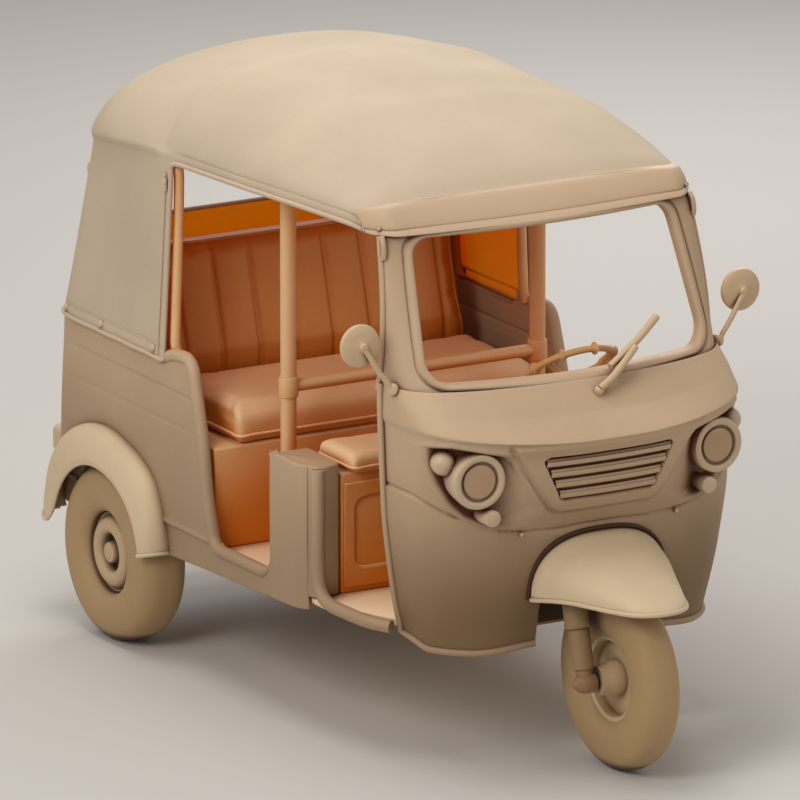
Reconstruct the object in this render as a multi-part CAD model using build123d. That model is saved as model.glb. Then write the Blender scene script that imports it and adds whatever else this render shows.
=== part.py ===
from build123d import *
import math
import os

# Auto rickshaw, full size. Millimetres. Forward is -Y, +X is the vehicle's left, +Z is up.
# The origin lies on the ground, under the middle of the whole vehicle.
# A "station" is a distance behind the front axle, so the front axle is at station 0.

# ---- overall sizes -------------------------------------------------------------------------
wheelbase = 1770.0           # front axle to rear axle
body_half_width = 580.0      # outer face of the side panels
rear_overhang = 355.0        # rear axle to the rear panel's outer face
bumper_reach = 100.0         # rear panel to the back of the bumper
sill_bottom = 330.0          # height of the body's lower edge
floor_top = 380.0            # height of the cabin floor
belt_height = 888.0          # top of the side panels, where the hood starts
eave_height = 1466.0         # lower edge of the roof over the doorways
crown_height = 1712.0        # highest point of the hood

# ---- walls and clearances ------------------------------------------------------------------
wall = 25.0                  # body side and rear walls
sheet = 10.0                 # pressed arches and fenders
floor_thickness = 30.0
hood_cloth = 12.0
nose_wall = 20.0
running_gap = 0.3            # beside a piece that turns, and under a cushion
shaft_gap = 0.05             # radial gap of a turning shaft
moving_gap = 6.0             # round the engine lid
arch_gap = 42.0              # round a rear tyre

# ---- wheels --------------------------------------------------------------------------------
tyre_radius = 255.0
front_tyre_width = 115.0
rear_tyre_width = 155.0
tyre_inset = 15.0            # middle of a rear tyre inside the side panel's face
rim_radius = 128.0
rim_wall = 10.0
axle_radius = 16.0
hub_radius = 46.0
rear_wheel_side = body_half_width - tyre_inset

# ---- steering ------------------------------------------------------------------------------
rake = 15.0                  # degrees, top leaning back
steering_offset = 52.0       # steering axis behind the front axle, square to the axis
fork_leg_side = 110.0        # middle of the tyre to the middle of a leg
upper_tube_radius = 33.0
slider_radius = 27.0
crown_gap = 16.0             # tyre to the underside of the fork's crown
crown_thickness = 26.0
stem_radius = 16.0
head_radius = 24.0

# ---- cabin ---------------------------------------------------------------------------------
driver_door_rear = 649.0     # station of the driver's doorway rear edge
side_box_length = 241.0
side_box_top = 760.0
side_box_depth = 110.0       # how far a side box reaches in from the side's outer face
seat_base_top = 670.0
seat_reach = 508.0           # passenger seat base's front, ahead of the rear axle
partition_back = 230.0       # behind the side boxes
partition_inset = 180.0
post_radius = 22.0

rear_face = wheelbase + rear_overhang
front_end = -tyre_radius
rear_end = rear_face + bumper_reach
side_box_rear = driver_door_rear + side_box_length
seat_base_front = wheelbase - seat_reach
nose_half_width = body_half_width - 68


def y_at(station):
    """Row-frame Y of a station behind the front axle."""
    return station - (front_end + rear_end) / 2


def block(x, station, z):
    """Box from three (low, high) pairs."""
    size = [high - low for low, high in (x, station, z)]
    middle = Vector((x[0] + x[1]) / 2, y_at((station[0] + station[1]) / 2), (z[0] + z[1]) / 2)
    return Pos(middle) * Box(*size)


def point(x, station, z):
    return Vector(x, y_at(station), z)


def rod(start, end, radius):
    """Round bar from one point to another."""
    direction = end - start
    plane = Plane(origin=start, z_dir=direction)
    return extrude(plane * Circle(radius), direction.length)


def tube_along(points, bends, radius):
    """Round tube bent along straight runs and arcs."""
    path = FilletPolyline(*points, radius=bends)
    first = Vector(*points[1]) - Vector(*points[0])
    return sweep(Plane(origin=points[0], z_dir=first) * Circle(radius), path=path)


def side_prism(outline, radii, x_low, x_high):
    """Plate between two X values, from a closed outline of (station, z) with corner radii."""
    plane = Plane(origin=(x_low, 0, 0), x_dir=(0, 1, 0), z_dir=(1, 0, 0))
    corners = [(y_at(station), z) for station, z in outline]
    with BuildPart() as built:
        with BuildSketch(plane):
            with BuildLine():
                FilletPolyline(*corners, radius=radii, close=True)
            make_face()
        extrude(amount=x_high - x_low)
    return built.part


def front_prism(outline, radii, station_low, station_high):
    """Plate between two stations, from a closed outline of (x, z) with corner radii."""
    plane = Plane(origin=(0, y_at(station_low), 0), x_dir=(-1, 0, 0), z_dir=(0, 1, 0))
    corners = [(-x, z) for x, z in outline]
    with BuildPart() as built:
        with BuildSketch(plane):
            with BuildLine():
                FilletPolyline(*corners, radius=radii, close=True)
            make_face()
        extrude(amount=station_high - station_low)
    return built.part


def along_axle(radius, x_low, x_high, station, z):
    """Disc or bar about an X axis."""
    return rod(point(x_low, station, z), point(x_high, station, z), radius)


# ---- the hood's shape: one arched section for each row --------------------------------------
hood_front = 520.0
door_rear = wheelbase - 260  # station of the hood's rear edge of the passenger doorway, at the belt
# station, inset at the eave from the body's side, drop of the eave, drop of the crown
hood_sections = [
    (hood_front, 88.0, 0.0, 182.0),
    (hood_front + 100, 62.0, 0.0, 120.0),
    (hood_front + 280, 30.0, 0.0, 63.0),
    (hood_front + 530, 18.0, 2.0, 18.0),
    (wheelbase - 420, 10.0, 16.0, 0.0),
    (wheelbase - 20, 14.0, 56.0, 29.0),
    (rear_face - 145, 24.0, 116.0, 95.0),
    (rear_face - 45, 35.0, 156.0, 160.0),
    (rear_face, 52.0, 186.0, 222.0),
]
shoulder = 0.74              # where the shoulder arc meets the crown arc, as a share of each half
shoulder_bulge = (0.933, 0.434)


def hood_arch(station, half_width, eave, crown, foot, inset=0.0):
    """Closed face: flat foot, straight sides, shoulder arcs and a crown arc."""
    rise = crown - eave
    arch = [
        (half_width, eave),
        (shoulder_bulge[0] * half_width, eave + shoulder_bulge[1] * rise),
        (shoulder * half_width, eave + shoulder * rise),
        (0.0, crown),
    ]
    foot_half = min(body_half_width - 4 - inset, half_width + 30)
    right = [point(x, station, z) for x, z in arch]
    left = [point(-x, station, z) for x, z in arch]
    foot_right = point(foot_half, station, foot)
    foot_left = point(-foot_half, station, foot)
    edges = [
        Line(foot_left, foot_right),
        Line(foot_right, right[0]),
        ThreePointArc(right[0], right[1], right[2]),
        ThreePointArc(right[2], right[3], left[2]),
        ThreePointArc(left[2], left[1], left[0]),
        Line(left[0], foot_left),
    ]
    return Face(Wire(edges))


def hood_solid(inset, foot, front_reach=0.0):
    """The hood's outer volume, set in by a wall, from its front edge to the rear."""
    sections = list(hood_sections)
    if front_reach > 0:
        # the front section again, further forward, so that the wall keeps its thickness
        front_station, *front_sizes = hood_sections[0]
        sections.insert(0, (front_station - front_reach, *front_sizes))
    faces = []
    for number, (station, side_inset, eave_drop, crown_drop) in enumerate(sections):
        if number == len(sections) - 1:
            station -= inset
        half_width = body_half_width - side_inset - inset
        faces.append(hood_arch(station, half_width, eave_height - eave_drop,
                               crown_height - crown_drop - inset, foot, inset))
    return loft(faces, ruled=True)


def hood_lining():
    """The volume inside the hood's cloth."""
    return hood_solid(hood_cloth, belt_height - 20, 40)


rear_window = [(-350, belt_height + 232), (350, belt_height + 232), (350, belt_height + 442),
               (-350, belt_height + 442)]


def make_hood(lining):
    shell = hood_solid(0, belt_height) - lining
    doorway = [(300, belt_height - 40), (door_rear + 5, belt_height - 40),
               (door_rear - 70, eave_height - 26), (300, eave_height + 16)]
    shell -= side_prism(doorway, [0, 0, 40, 0], -body_half_width, body_half_width)
    return shell - front_prism(rear_window, [40] * 4, rear_face - 200, rear_face + 100)


bow_width = 26.0
bow_depth = 20.0
partition_station = side_box_rear + partition_back


def make_hood_frame(lining):
    """Bows and cant rails that carry the hood, just under the cloth."""
    ring = lining - hood_solid(hood_cloth + bow_depth, belt_height - 40, 60)
    all_x = (-body_half_width, body_half_width)
    above = (eave_height - 30, crown_height)
    # station, height range
    to_belt = (belt_height, crown_height)
    bows = [(hood_front + 310, above), (partition_station, above), (door_rear - 35, to_belt),
            (rear_face - 225, to_belt)]
    strips = [block(all_x, (s - bow_width / 2, s + bow_width / 2), z) for s, z in bows]
    strips.append(block(all_x, (hood_front, door_rear - 35), (eave_height + 18, eave_height + 54)))
    strips.append(block(all_x, (door_rear - 35, rear_face - 225), (eave_height - 100, eave_height - 64)))
    return ring & strips[0].fuse(*strips[1:])


# ---- wheels --------------------------------------------------------------------------------
def make_tyre(middle_x, width, station):
    """Rounded tyre, as a ring about its axle."""
    half = width / 2
    bead = rim_radius + 1
    side = tyre_radius - half * 0.9
    profile = [
        Line((half * 0.62, bead), (half, side)),
        ThreePointArc((half, side), (0, tyre_radius), (-half, side)),
        Line((-half, side), (-half * 0.62, bead)),
        Line((-half * 0.62, bead), (half * 0.62, bead)),
    ]
    ring = revolve(Face(Wire(profile)), Axis.X)
    return Pos(point(middle_x, station, tyre_radius)) * ring


def make_rim(middle_x, width, station, outward):
    """Pressed steel rim with a dished disc, a hub and a bore for the axle."""
    half = width / 2 * 0.62
    barrel = Cylinder(rim_radius + 1, 2 * half) - Cylinder(rim_radius + 1 - rim_wall, 2 * half)
    disc = Pos(0, 0, half * 0.2) * Cylinder(rim_radius + 1 - rim_wall, rim_wall)
    hub = Cylinder(hub_radius, 2 * half)
    rim = barrel + disc + hub - Cylinder(axle_radius + shaft_gap, 4 * half)
    turned = Rot(0, 90 * outward, 0) * rim
    return Pos(point(middle_x, station, tyre_radius)) * turned


# ---- front fork, all on the raked steering axis -----------------------------------------------
axle_point = point(0, 0, tyre_radius)
rake_up = Vector(0, math.sin(math.radians(rake)), math.cos(math.radians(rake)))
rake_back = Vector(0, math.cos(math.radians(rake)), -math.sin(math.radians(rake)))
steering_point = axle_point + rake_back * steering_offset
crown_low = tyre_radius + crown_gap
crown_high = crown_low + crown_thickness
head_low = crown_high + 30
head_high = head_low + 170
stem_high = head_high + 40


def make_fork():
    """Two-leg fork with its crown, stem and front axle."""
    side, back = fork_leg_side, steering_offset
    plan = [(-side - 18, -30), (side + 18, -30), (side + 24, 14), (30, back + 26), (-30, back + 26),
            (-side - 24, 14)]
    plane = Plane(origin=axle_point + rake_up * crown_low, x_dir=(1, 0, 0), z_dir=rake_up)
    crown_outline = [plane.from_local_coords(Vector(x, y, 0)) for x, y in plan]
    fork = extrude(make_face(Polyline(*crown_outline, close=True).edges()), crown_thickness, dir=rake_up)
    for end in (-1, 1):
        foot = axle_point + Vector(end * side, 0, 0)
        fork += rod(foot - rake_up * 28, foot + rake_up * 150, slider_radius)
        fork += rod(foot + rake_up * 130, foot + rake_up * (crown_high - 2), upper_tube_radius)
        fork += along_axle(22, *sorted((end * (side - 20), end * (side + 42))), 0, tyre_radius)
    fork += along_axle(axle_radius, -side, side, 0, tyre_radius)
    fork += rod(steering_point + rake_up * crown_low, steering_point + rake_up * stem_high, stem_radius)
    return fork


def make_steering_head():
    """Fixed tube that the fork's stem turns in."""
    start = steering_point + rake_up * head_low
    end = steering_point + rake_up * head_high
    tube = rod(start, end, head_radius)
    return tube - rod(start - rake_up, end + rake_up, stem_radius + shaft_gap)


# ---- steering wheel and column -----------------------------------------------------------------
wheel_tilt = 35.0
steering_wheel_radius = 170.0
rim_grip = 11.0
column_radius = 20.0
column_shaft_radius = 10.0
steering_wheel_height = 570.0    # hub above the cabin floor
column_back = 228.0              # hub behind the wheel well
column_side = 172.0
well_rear = tyre_radius + 57
wheel_hub = point(column_side, well_rear + column_back, floor_top + steering_wheel_height)
column_up = Vector(0, math.sin(math.radians(wheel_tilt)), math.cos(math.radians(wheel_tilt)))


def make_steering_wheel():
    plane = Plane(origin=wheel_hub, x_dir=(1, 0, 0), z_dir=column_up)
    wheel = Torus(steering_wheel_radius, rim_grip) + Pos(0, 0, -14) * Cylinder(34, 30)
    for turn in (90, 210, 330):
        spoke = Pos(steering_wheel_radius / 2, 0, 0) * Box(steering_wheel_radius, 22, 8)
        wheel += Rot(0, 0, turn) * spoke
    wheel += Pos(0, 0, -150) * Cylinder(column_shaft_radius, 270)
    return plane.location * wheel


def make_steering_column():
    """Fixed jacket round the steering shaft, standing on the back of the wheel well."""
    start = wheel_hub - column_up * 36
    end = wheel_hub - column_up * (column_back / column_up.Y + 60)
    foot_height = floor_top + 160
    plate = block((column_side - 82, column_side + 24), (well_rear, well_rear + 8),
                  (foot_height, foot_height + 110))
    jacket = rod(start, end, column_radius) + plate
    jacket -= rod(start + column_up, end, column_shaft_radius + shaft_gap)
    return jacket - block((-body_half_width, body_half_width), (front_end, well_rear), (0, crown_height))


# ---- nose ----------------------------------------------------------------------------------------
well_half_width = 205.0
well_spring = 2 * tyre_radius - 60  # height where the well's sides turn into its arch
nose_rear = 330.0            # station where the nose meets the door sill and the pillars
nose_bottom = sill_bottom + 12
cowl_height = 1052.0
# height, spread of the sides, (inset, station) of the corner's middle and of its front end, centre station
nose_sections = [
    (nose_bottom, -15.0, (37.0, 172.0), (122.0, 108.0), 96.0),
    (660.0, 0.0, (30.0, 250.0), (112.0, 182.0), 114.0),
    (945.0, 8.0, (10.0, 215.0), (92.0, 118.0), 4.0),
    (cowl_height, -8.0, (20.0, 296.0), (72.0, 266.0), 190.0),
]


def nose_plan(section, inset, reach):
    """Closed plan of the nose at one height, set in by the wall."""
    height, spread, corner, front, centre = section
    outline = [
        (nose_half_width + spread - inset, nose_rear + reach),
        (nose_half_width - corner[0] - inset * 0.8, corner[1] + inset * 0.6),
        (nose_half_width - front[0] - inset * 0.4, front[1] + inset),
        (0.0, centre + inset),
    ]
    right = [point(x, station, height) for x, station in outline]
    left = [point(-x, station, height) for x, station in outline]
    edges = [
        ThreePointArc(right[0], right[1], right[2]),
        ThreePointArc(right[2], right[3], left[2]),
        ThreePointArc(left[2], left[1], left[0]),
        Line(left[0], right[0]),
    ]
    return Face(Wire(edges))


def nose_solid(inset, reach):
    return loft([nose_plan(section, inset, reach) for section in nose_sections], ruled=True)


headlamp_side = nose_half_width - 135
headlamp_height = 830.0
headlamp_radius = 78.0
headlamp_front = 108.0
grille_top = 889.0
grille_bottom = 761.0
grille_outline = [(-192, grille_top), (192, grille_top), (136, grille_bottom), (-136, grille_bottom)]
slat_pitch = 23.0
slot_height = 8.0


def well_arch(half_width, station_low, station_high):
    """Arched volume over the steered wheel."""
    top = well_spring + half_width
    outline = [(-half_width, 0), (half_width, 0), (half_width, top), (-half_width, top)]
    return front_prism(outline, [0, 0, half_width - 1, half_width - 1], station_low, station_high)


def make_well(nose_inside, head_space):
    """Arched tunnel behind the nose that the front wheel turns in, closed at its back."""
    well = well_arch(well_half_width + sheet, 0, well_rear)
    well -= well_arch(well_half_width, front_end, well_rear - sheet)
    well -= block((-body_half_width, body_half_width), (front_end, rear_face), (0, nose_bottom))
    return (well & nose_inside) - head_space


def make_front_panel(nose_inside):
    shell = nose_solid(0, 0) - nose_inside - well_arch(well_half_width, front_end, well_rear)
    for side in (-1, 1):
        lamp = point(side * headlamp_side, 0, headlamp_height)
        shell -= rod(lamp, lamp + Vector(0, 260, 0), headlamp_radius)
    return shell


def grille_prism():
    return front_prism(grille_outline, [14] * 4, front_end, nose_rear)


def make_grille(panel):
    """Slatted insert that fills the nose's opening."""
    border = 13.0
    insert = panel & grille_prism()
    inside = [(x - math.copysign(border, x), z) for x, z in grille_outline]
    openings = front_prism(inside, [8] * 4, front_end, nose_rear)
    middle = (grille_top + grille_bottom) / 2
    for number in range(-2, 3):
        z = middle + number * slat_pitch
        slot = block((-300, 300), (front_end, nose_rear), (z - slot_height / 2, z + slot_height / 2))
        insert -= slot & openings
    return insert


def make_headlamp(side):
    """Barrel with a recessed round lens."""
    front = point(side * headlamp_side, headlamp_front, headlamp_height)
    lens_radius = headlamp_radius - 28
    barrel = rod(front, front + Vector(0, 150, 0), headlamp_radius)
    barrel -= rod(front - Vector(0, 1, 0), front + Vector(0, 14, 0), headlamp_radius - 14)
    return barrel + rod(front + Vector(0, 4, 0), front + Vector(0, 15, 0), lens_radius)


# x, station of the front, height, radius, length back: an indicator and a small round lamp
small_lamps = [
    (nose_half_width - 50, 170.0, 886.0, 30.0, 120.0),
    (nose_half_width - 168, 104.0, 722.0, 23.0, 90.0),
]


def make_small_lamps(headlamps):
    solids = []
    for side in (-1, 1):
        for x, station, z, radius, length in small_lamps:
            front = point(side * x, station, z)
            bulb = rod(front, front + Vector(0, length, 0), radius) - nose_solid(0, 0)
            solids += (bulb - headlamps).solids()
    return Compound(children=solids)


mudguard_half_width = 190.0
mudguard_reach = 346.0
mudguard_rise = 152.0
mudguard_lip = 2 * tyre_radius - 10
mudguard_middle = 100.0      # station of the dome's middle


def make_mudguard():
    """Domed scoop over the front tyre, standing on the nose round its arch."""
    middle = point(0, mudguard_middle, mudguard_lip)
    outer_size = (mudguard_half_width, mudguard_reach, mudguard_rise)
    inner_size = tuple(size - sheet for size in outer_size)
    dome = Pos(middle) * (scale(Sphere(1), by=outer_size) - scale(Sphere(1), by=inner_size))
    across = (-mudguard_half_width, mudguard_half_width)
    front_half = block(across, (front_end, 260), (mudguard_lip, mudguard_lip + mudguard_rise))
    return max(((dome & front_half) - nose_solid(0, 0)).solids(), key=lambda solid: solid.volume)


# ---- windscreen frame and visor ------------------------------------------------------------------
frame_depth = 34.0
frame_top = eave_height - 14
frame_half_width = nose_half_width - 12
pillar_width = 64.0
# height, half width, station at the side, station at the centre
screen_sections = [(cowl_height, frame_half_width, 300.0, 192.0),
                   (frame_top, frame_half_width - 18, 455.0, 398.0)]
visor_sections = [(frame_top, frame_half_width - 13, 438.0, 385.0),
                  (frame_top + 42, frame_half_width - 10, 470.0, 425.0),
                  (frame_top + 78, frame_half_width - 10, hood_front + 12, hood_front - 26)]


def curved_strip(section):
    """Strip bowed forward at one height, as deep as the frame."""
    height, half_width, side, centre = section
    back = Vector(0, frame_depth, 0)
    ends = ((half_width, side), (0, centre), (-half_width, side))
    right, middle, left = [point(*at, height) for at in ends]
    edges = [
        ThreePointArc(left, middle, right),
        Line(right, right + back),
        ThreePointArc(right + back, middle + back, left + back),
        Line(left + back, left),
    ]
    return Face(Wire(edges))


def make_windscreen_frame():
    plate = loft([curved_strip(section) for section in screen_sections], ruled=True)
    low, high = frame_half_width - pillar_width, frame_half_width - pillar_width - 32
    sill, header = cowl_height + 24, frame_top - 22
    opening = [(-low, sill), (low, sill), (high, header), (-high, header)]
    return plate - front_prism(opening, [55, 55, 50, 50], 0, side_box_rear)


def make_visor():
    """Curved band over the windscreen, from its lip up to the hood's front edge."""
    band = loft([curved_strip(section) for section in visor_sections], ruled=True)
    _, side_inset, eave_drop, crown_drop = hood_sections[0]
    arches = [hood_arch(station, body_half_width - side_inset, eave_height - eave_drop,
                        crown_height - crown_drop, belt_height) for station in (nose_rear, hood_front)]
    return band & loft(arches, ruled=True)


# ---- floor and frame -------------------------------------------------------------------------------
def make_floor():
    """Floor sheet between the side panels, narrowing to the nose, cut round the wheel well."""
    side, nose, well = body_half_width - wall, nose_half_width - wall, well_half_width + sheet
    half = [(side, seat_base_front + 40), (side, driver_door_rear), (nose, nose_rear), (well, nose_rear),
            (well, well_rear)]
    plan = half + [(-x, station) for x, station in reversed(half)]
    outline = Polyline(*[point(x, station, floor_top) for x, station in plan], close=True)
    return extrude(make_face(outline.edges()), -floor_thickness, dir=(0, 0, 1))


rail_side = body_half_width - 330
rail_width = 40.0
rail_depth = 54.0
rail_top = floor_top - floor_thickness
rail_bottom = rail_top - rail_depth
rail_front = well_rear + 28
engine_front = wheelbase - 50
engine_rear = rear_face - 63
engine_half_width = rail_side - 70
engine_top = seat_base_top - 70


def make_chassis():
    """Two long rails with their cross members."""
    members = []
    for side in (-1, 1):
        x = sorted((side * (rail_side - rail_width / 2), side * (rail_side + rail_width / 2)))
        members.append(block(x, (rail_front, rear_face - wall), (rail_bottom, rail_top)))
    cross_members = (rail_front + 80, side_box_rear, seat_base_front + 80, engine_front + 20,
                     engine_rear - 40)
    across = (-rail_side, rail_side)
    for station in cross_members:
        members.append(block(across, (station - 20, station + 20), (rail_bottom + 6, rail_top)))
    return members[0].fuse(*members[1:])


# ---- side panels -----------------------------------------------------------------------------------
door_sill = floor_top + 24
arch_radius = tyre_radius + arch_gap


def make_body_side(side):
    """Side panel from the nose to the rear, with both doorways cut out."""
    outer, inner = side * body_half_width, side * (body_half_width - wall)
    door_foot = wheelbase - 548
    outline = [(driver_door_rear, sill_bottom), (rear_face, sill_bottom - 15), (rear_face, belt_height),
               (door_foot + 106, belt_height), (door_foot, door_sill), (side_box_rear, door_sill),
               (side_box_rear, side_box_top), (driver_door_rear, side_box_top)]
    panel = side_prism(outline, [0, 0, 0, 80, 40, 40, 0, 0], *sorted((inner, outer)))
    x = sorted((side * rear_wheel_side / 2, side * rear_wheel_side * 2))
    panel -= along_axle(arch_radius, *x, wheelbase, tyre_radius)
    panel -= block(x, (wheelbase - arch_radius, wheelbase + arch_radius), (0, tyre_radius + 1))
    corners = [(side * nose_half_width, nose_rear), (outer, driver_door_rear), (inner, driver_door_rear),
               (side * (nose_half_width - wall), nose_rear)]
    plan = Polyline(*[point(*at, sill_bottom) for at in corners], close=True)
    return panel + extrude(make_face(plan.edges()), floor_top - 4 - sill_bottom, dir=(0, 0, 1))


def make_side_box(side):
    """Hollow pillar box between the two doorways, beside the driver's seat."""
    x = sorted((side * (body_half_width - wall), side * (body_half_width - side_box_depth)))
    box = block(x, (driver_door_rear, side_box_rear), (floor_top, side_box_top))
    return box - block((x[0] + sheet, x[1] - sheet), (driver_door_rear + sheet, side_box_rear - sheet),
                       (floor_top, side_box_top - sheet))


# ---- seats -----------------------------------------------------------------------------------------
driver_seat_front = driver_door_rear + 56
driver_seat_top = side_box_top - 38
driver_seat_half_width = body_half_width - side_box_depth
driver_cushion_thickness = 70.0
seat_panel = 15.0
seat_cushion_thickness = 112.0
cushion_half_width = body_half_width - 80
cushion_rear = wheelbase - 110
seat_back_rise = 480.0


def make_driver_seat_box():
    half = driver_seat_half_width
    box = block((-half, half), (driver_seat_front, side_box_rear), (floor_top, driver_seat_top))
    return box - block((-half + seat_panel, half - seat_panel),
                       (driver_seat_front + seat_panel, side_box_rear - seat_panel),
                       (floor_top, driver_seat_top - seat_panel))


def pad(half_width, station, z, corner):
    """Plain cushion with rounded upright corners."""
    cushion = block((-half_width, half_width), station, z)
    return fillet(cushion.edges().filter_by(Axis.Z), corner)


def make_driver_cushion():
    low = driver_seat_top + running_gap
    return pad(driver_seat_half_width - 6, (driver_seat_front - 40, side_box_rear - 12),
               (low, low + driver_cushion_thickness), 25)


def make_seat_base():
    """Box under the passenger seat with a wheel housing at each side, open below and behind."""
    half = body_half_width - wall
    inner_wall = rear_wheel_side - 125
    base = block((-half, half), (seat_base_front, rear_face - wall), (floor_top, seat_base_top))
    under = (floor_top - 1, seat_base_top - 20)
    base -= block((-inner_wall, inner_wall), (seat_base_front + 20, rear_face), under)
    for side in (-1, 1):
        housing = sorted((side * (inner_wall + seat_panel), side * (half + 1)))
        base -= block(housing, (wheelbase - arch_radius, rear_face), under)
    return base


def make_seat_cushion():
    low = seat_base_top + running_gap
    station = (seat_base_front - 26, cushion_rear)
    return pad(cushion_half_width, station, (low, low + seat_cushion_thickness), 45)


def make_seat_back():
    """Leaning back pad, behind the cushion and on the seat base."""
    front, low = cushion_rear + 4, seat_base_top + running_gap
    top = seat_base_top + seat_back_rise
    outline = [(front, low), (front + 106, low), (front + 241, top), (front + 106, top), (front, low + 130)]
    return side_prism(outline, [0, 0, 30, 40, 10], -cushion_half_width, cushion_half_width)


# ---- rear panel and engine lid -----------------------------------------------------------------------
lid_half_width = 380.0
lid_bottom = 430.0
lid_top = 800.0
lid_thickness = 18.0
knuckle_radius = 9.0
knuckle_out = knuckle_radius + 1
knuckle_side = 250.0
knuckle_half = 30.0
hinge_height = lid_top + 4


def make_rear_panel():
    half = body_half_width - wall
    across = (-lid_half_width - moving_gap, lid_half_width + moving_gap)
    panel = block((-half, half), (rear_face - wall, rear_face), (sill_bottom - 10, belt_height))
    panel -= block(across, (rear_face - wall, rear_face), (lid_bottom - moving_gap, lid_top + moving_gap))
    for middle in (-knuckle_side, knuckle_side):
        for end in (-1, 1):
            near = middle + end * (knuckle_half + running_gap)
            x = sorted((near, near + end * 26))
            panel += along_axle(knuckle_radius, *x, rear_face + knuckle_out, hinge_height)
            panel += block(x, (rear_face - 6, rear_face + knuckle_out), (lid_top + moving_gap, lid_top + 22))
    return panel


def make_engine_lid():
    across = (-lid_half_width, lid_half_width)
    lid = block(across, (rear_face - lid_thickness, rear_face), (lid_bottom, lid_top - 2))
    for middle in (-knuckle_side, knuckle_side):
        x = (middle - knuckle_half, middle + knuckle_half)
        lid += along_axle(knuckle_radius, *x, rear_face + knuckle_out, hinge_height)
        lid += block(x, (rear_face - 4, rear_face + knuckle_out), (lid_top - 30, lid_top))
    return lid


def make_rear_bumper():
    """Tube across the back on two brackets."""
    radius, height, half_width = 20.0, sill_bottom + 42, body_half_width - 150
    bar = along_axle(radius, -half_width, half_width, rear_end - radius, height)
    for side in (-1, 1):
        x = sorted((side * 300, side * 340))
        bar += block(x, (rear_face, rear_end - radius), (height - 18, height + 18))
    return bar


def make_tail_lamps():
    solids = []
    for side in (-1, 1):
        x = sorted((side * (body_half_width - 110), side * (body_half_width - 20)))
        lamp = block(x, (rear_face, rear_end - 16), (lid_bottom + 10, lid_bottom + 90))
        solids += fillet(lamp.edges().filter_by(Axis.Y), 18).solids()
    return Compound(children=solids)


# ---- rear fenders ----------------------------------------------------------------------------------
fender_radius = tyre_radius + 100
fender_station = wheelbase - 15
fender_height = tyre_radius + 35
fender_side = rear_wheel_side + rear_tyre_width / 2 + 21.5
fender_skirt = 95.0
fender_sweep = 174.0


def make_fender(side):
    """Pressed band over the rear tyre: a top, a rounded edge and a skirt."""
    inner_x, outer_x, outer_r = body_half_width, fender_side, fender_radius
    corners = [(inner_x, outer_r), (outer_x, outer_r), (outer_x, outer_r - fender_skirt),
               (outer_x - sheet, outer_r - fender_skirt), (outer_x - sheet, outer_r - sheet),
               (inner_x, outer_r - sheet)]
    with BuildPart() as built:
        with BuildSketch(Plane.XY):
            with BuildLine():
                FilletPolyline(*[(side * x, r) for x, r in corners], radius=[0, 36, 4, 4, 26, 0], close=True)
            make_face()
        revolve(axis=Axis.X, revolution_arc=fender_sweep)
    band = Rot((180 - fender_sweep) / 2, 0, 0) * built.part
    return Pos(0, y_at(fender_station), fender_height) * band


# ---- rear running gear -------------------------------------------------------------------------------
arm_radius = 24.0
arm_pivot_station = seat_base_front + 138
arm_outer_side = rear_wheel_side - 140
arm_pivot_height = rail_bottom - arm_radius - 8
damper_station = wheelbase - 60


def make_trailing_arm(side):
    """Swing arm from its pivot under the rail to the stub axle of a rear wheel."""
    points = [point(side * rail_side, arm_pivot_station, arm_pivot_height),
              point(side * (rail_side + 60), arm_pivot_station + 130, arm_pivot_height),
              point(side * arm_outer_side, wheelbase - 90, tyre_radius),
              point(side * arm_outer_side, wheelbase + 30, tyre_radius)]
    arm = tube_along(points, [60, 60], arm_radius)
    pivot = sorted((side * (rail_side - 40), side * (rail_side + 40)))
    arm += along_axle(arm_radius + 8, *pivot, arm_pivot_station, arm_pivot_height)
    stub_end = rear_wheel_side + rear_tyre_width * 0.31
    stub = sorted((side * arm_outer_side, side * stub_end))
    return arm + along_axle(axle_radius, *stub, wheelbase, tyre_radius)


def make_damper(side, arm):
    """Damper from the arm up to the underside of the seat base."""
    foot = point(side * (arm_outer_side - 20), damper_station, tyre_radius)
    top = point(side * (arm_outer_side - 45), damper_station, seat_base_top - 20)
    whole = rod(foot, top, 24) & block((-body_half_width, body_half_width), (seat_base_front, rear_face),
                                       (0, seat_base_top - 20))
    return max((whole - arm).solids(), key=lambda solid: solid.volume)


def make_drive_shaft(side, arm, engine):
    start = point(side * (engine_half_width - 20), wheelbase, rail_top + 96)
    shaft = rod(start, point(side * arm_outer_side, wheelbase, tyre_radius + 10), 14) - arm - engine
    return max(shaft.solids(), key=lambda solid: solid.volume)


def make_engine():
    across = (-engine_half_width, engine_half_width)
    return block(across, (engine_front, engine_rear), (rail_top, engine_top))


# ---- partition frame, mirrors and wiper ----------------------------------------------------------------
def make_partition_frame(lining):
    """Two posts from the floor to the hood's bow, joined by a grab rail."""
    side = body_half_width - partition_inset
    frame = along_axle(17, -side, side, partition_station, side_box_top + 104)
    under_bow = hood_solid(hood_cloth + bow_depth, belt_height - 40, 60)
    top = eave_height + 120
    for end in (-1, 1):
        foot = point(end * side, partition_station, floor_top)
        frame += rod(foot, point(end * side, partition_station, top), post_radius)
        upper = rod(point(end * side, partition_station, top - 100),
                    point(end * side, partition_station, crown_height), post_radius)
        frame += upper & under_bow
    return frame


mirror_side = body_half_width + 22
mirror_radius = 60.0
mirror_rise = 129.0          # above the cowl


def make_mirrors(frame):
    """Round mirror heads on arms from the feet of the windscreen pillars."""
    solids = []
    for side in (-1, 1):
        disc = point(side * mirror_side, 367, cowl_height + mirror_rise)
        foot = point(side * (frame_half_width - 12), 322, cowl_height + 26)
        mirror = rod(disc - Vector(0, 9, 0), disc + Vector(0, 9, 0), mirror_radius) + rod(foot, disc, 9)
        solids.append(max((mirror - frame).solids(), key=lambda solid: solid.volume))
    return Compound(children=solids)


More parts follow.
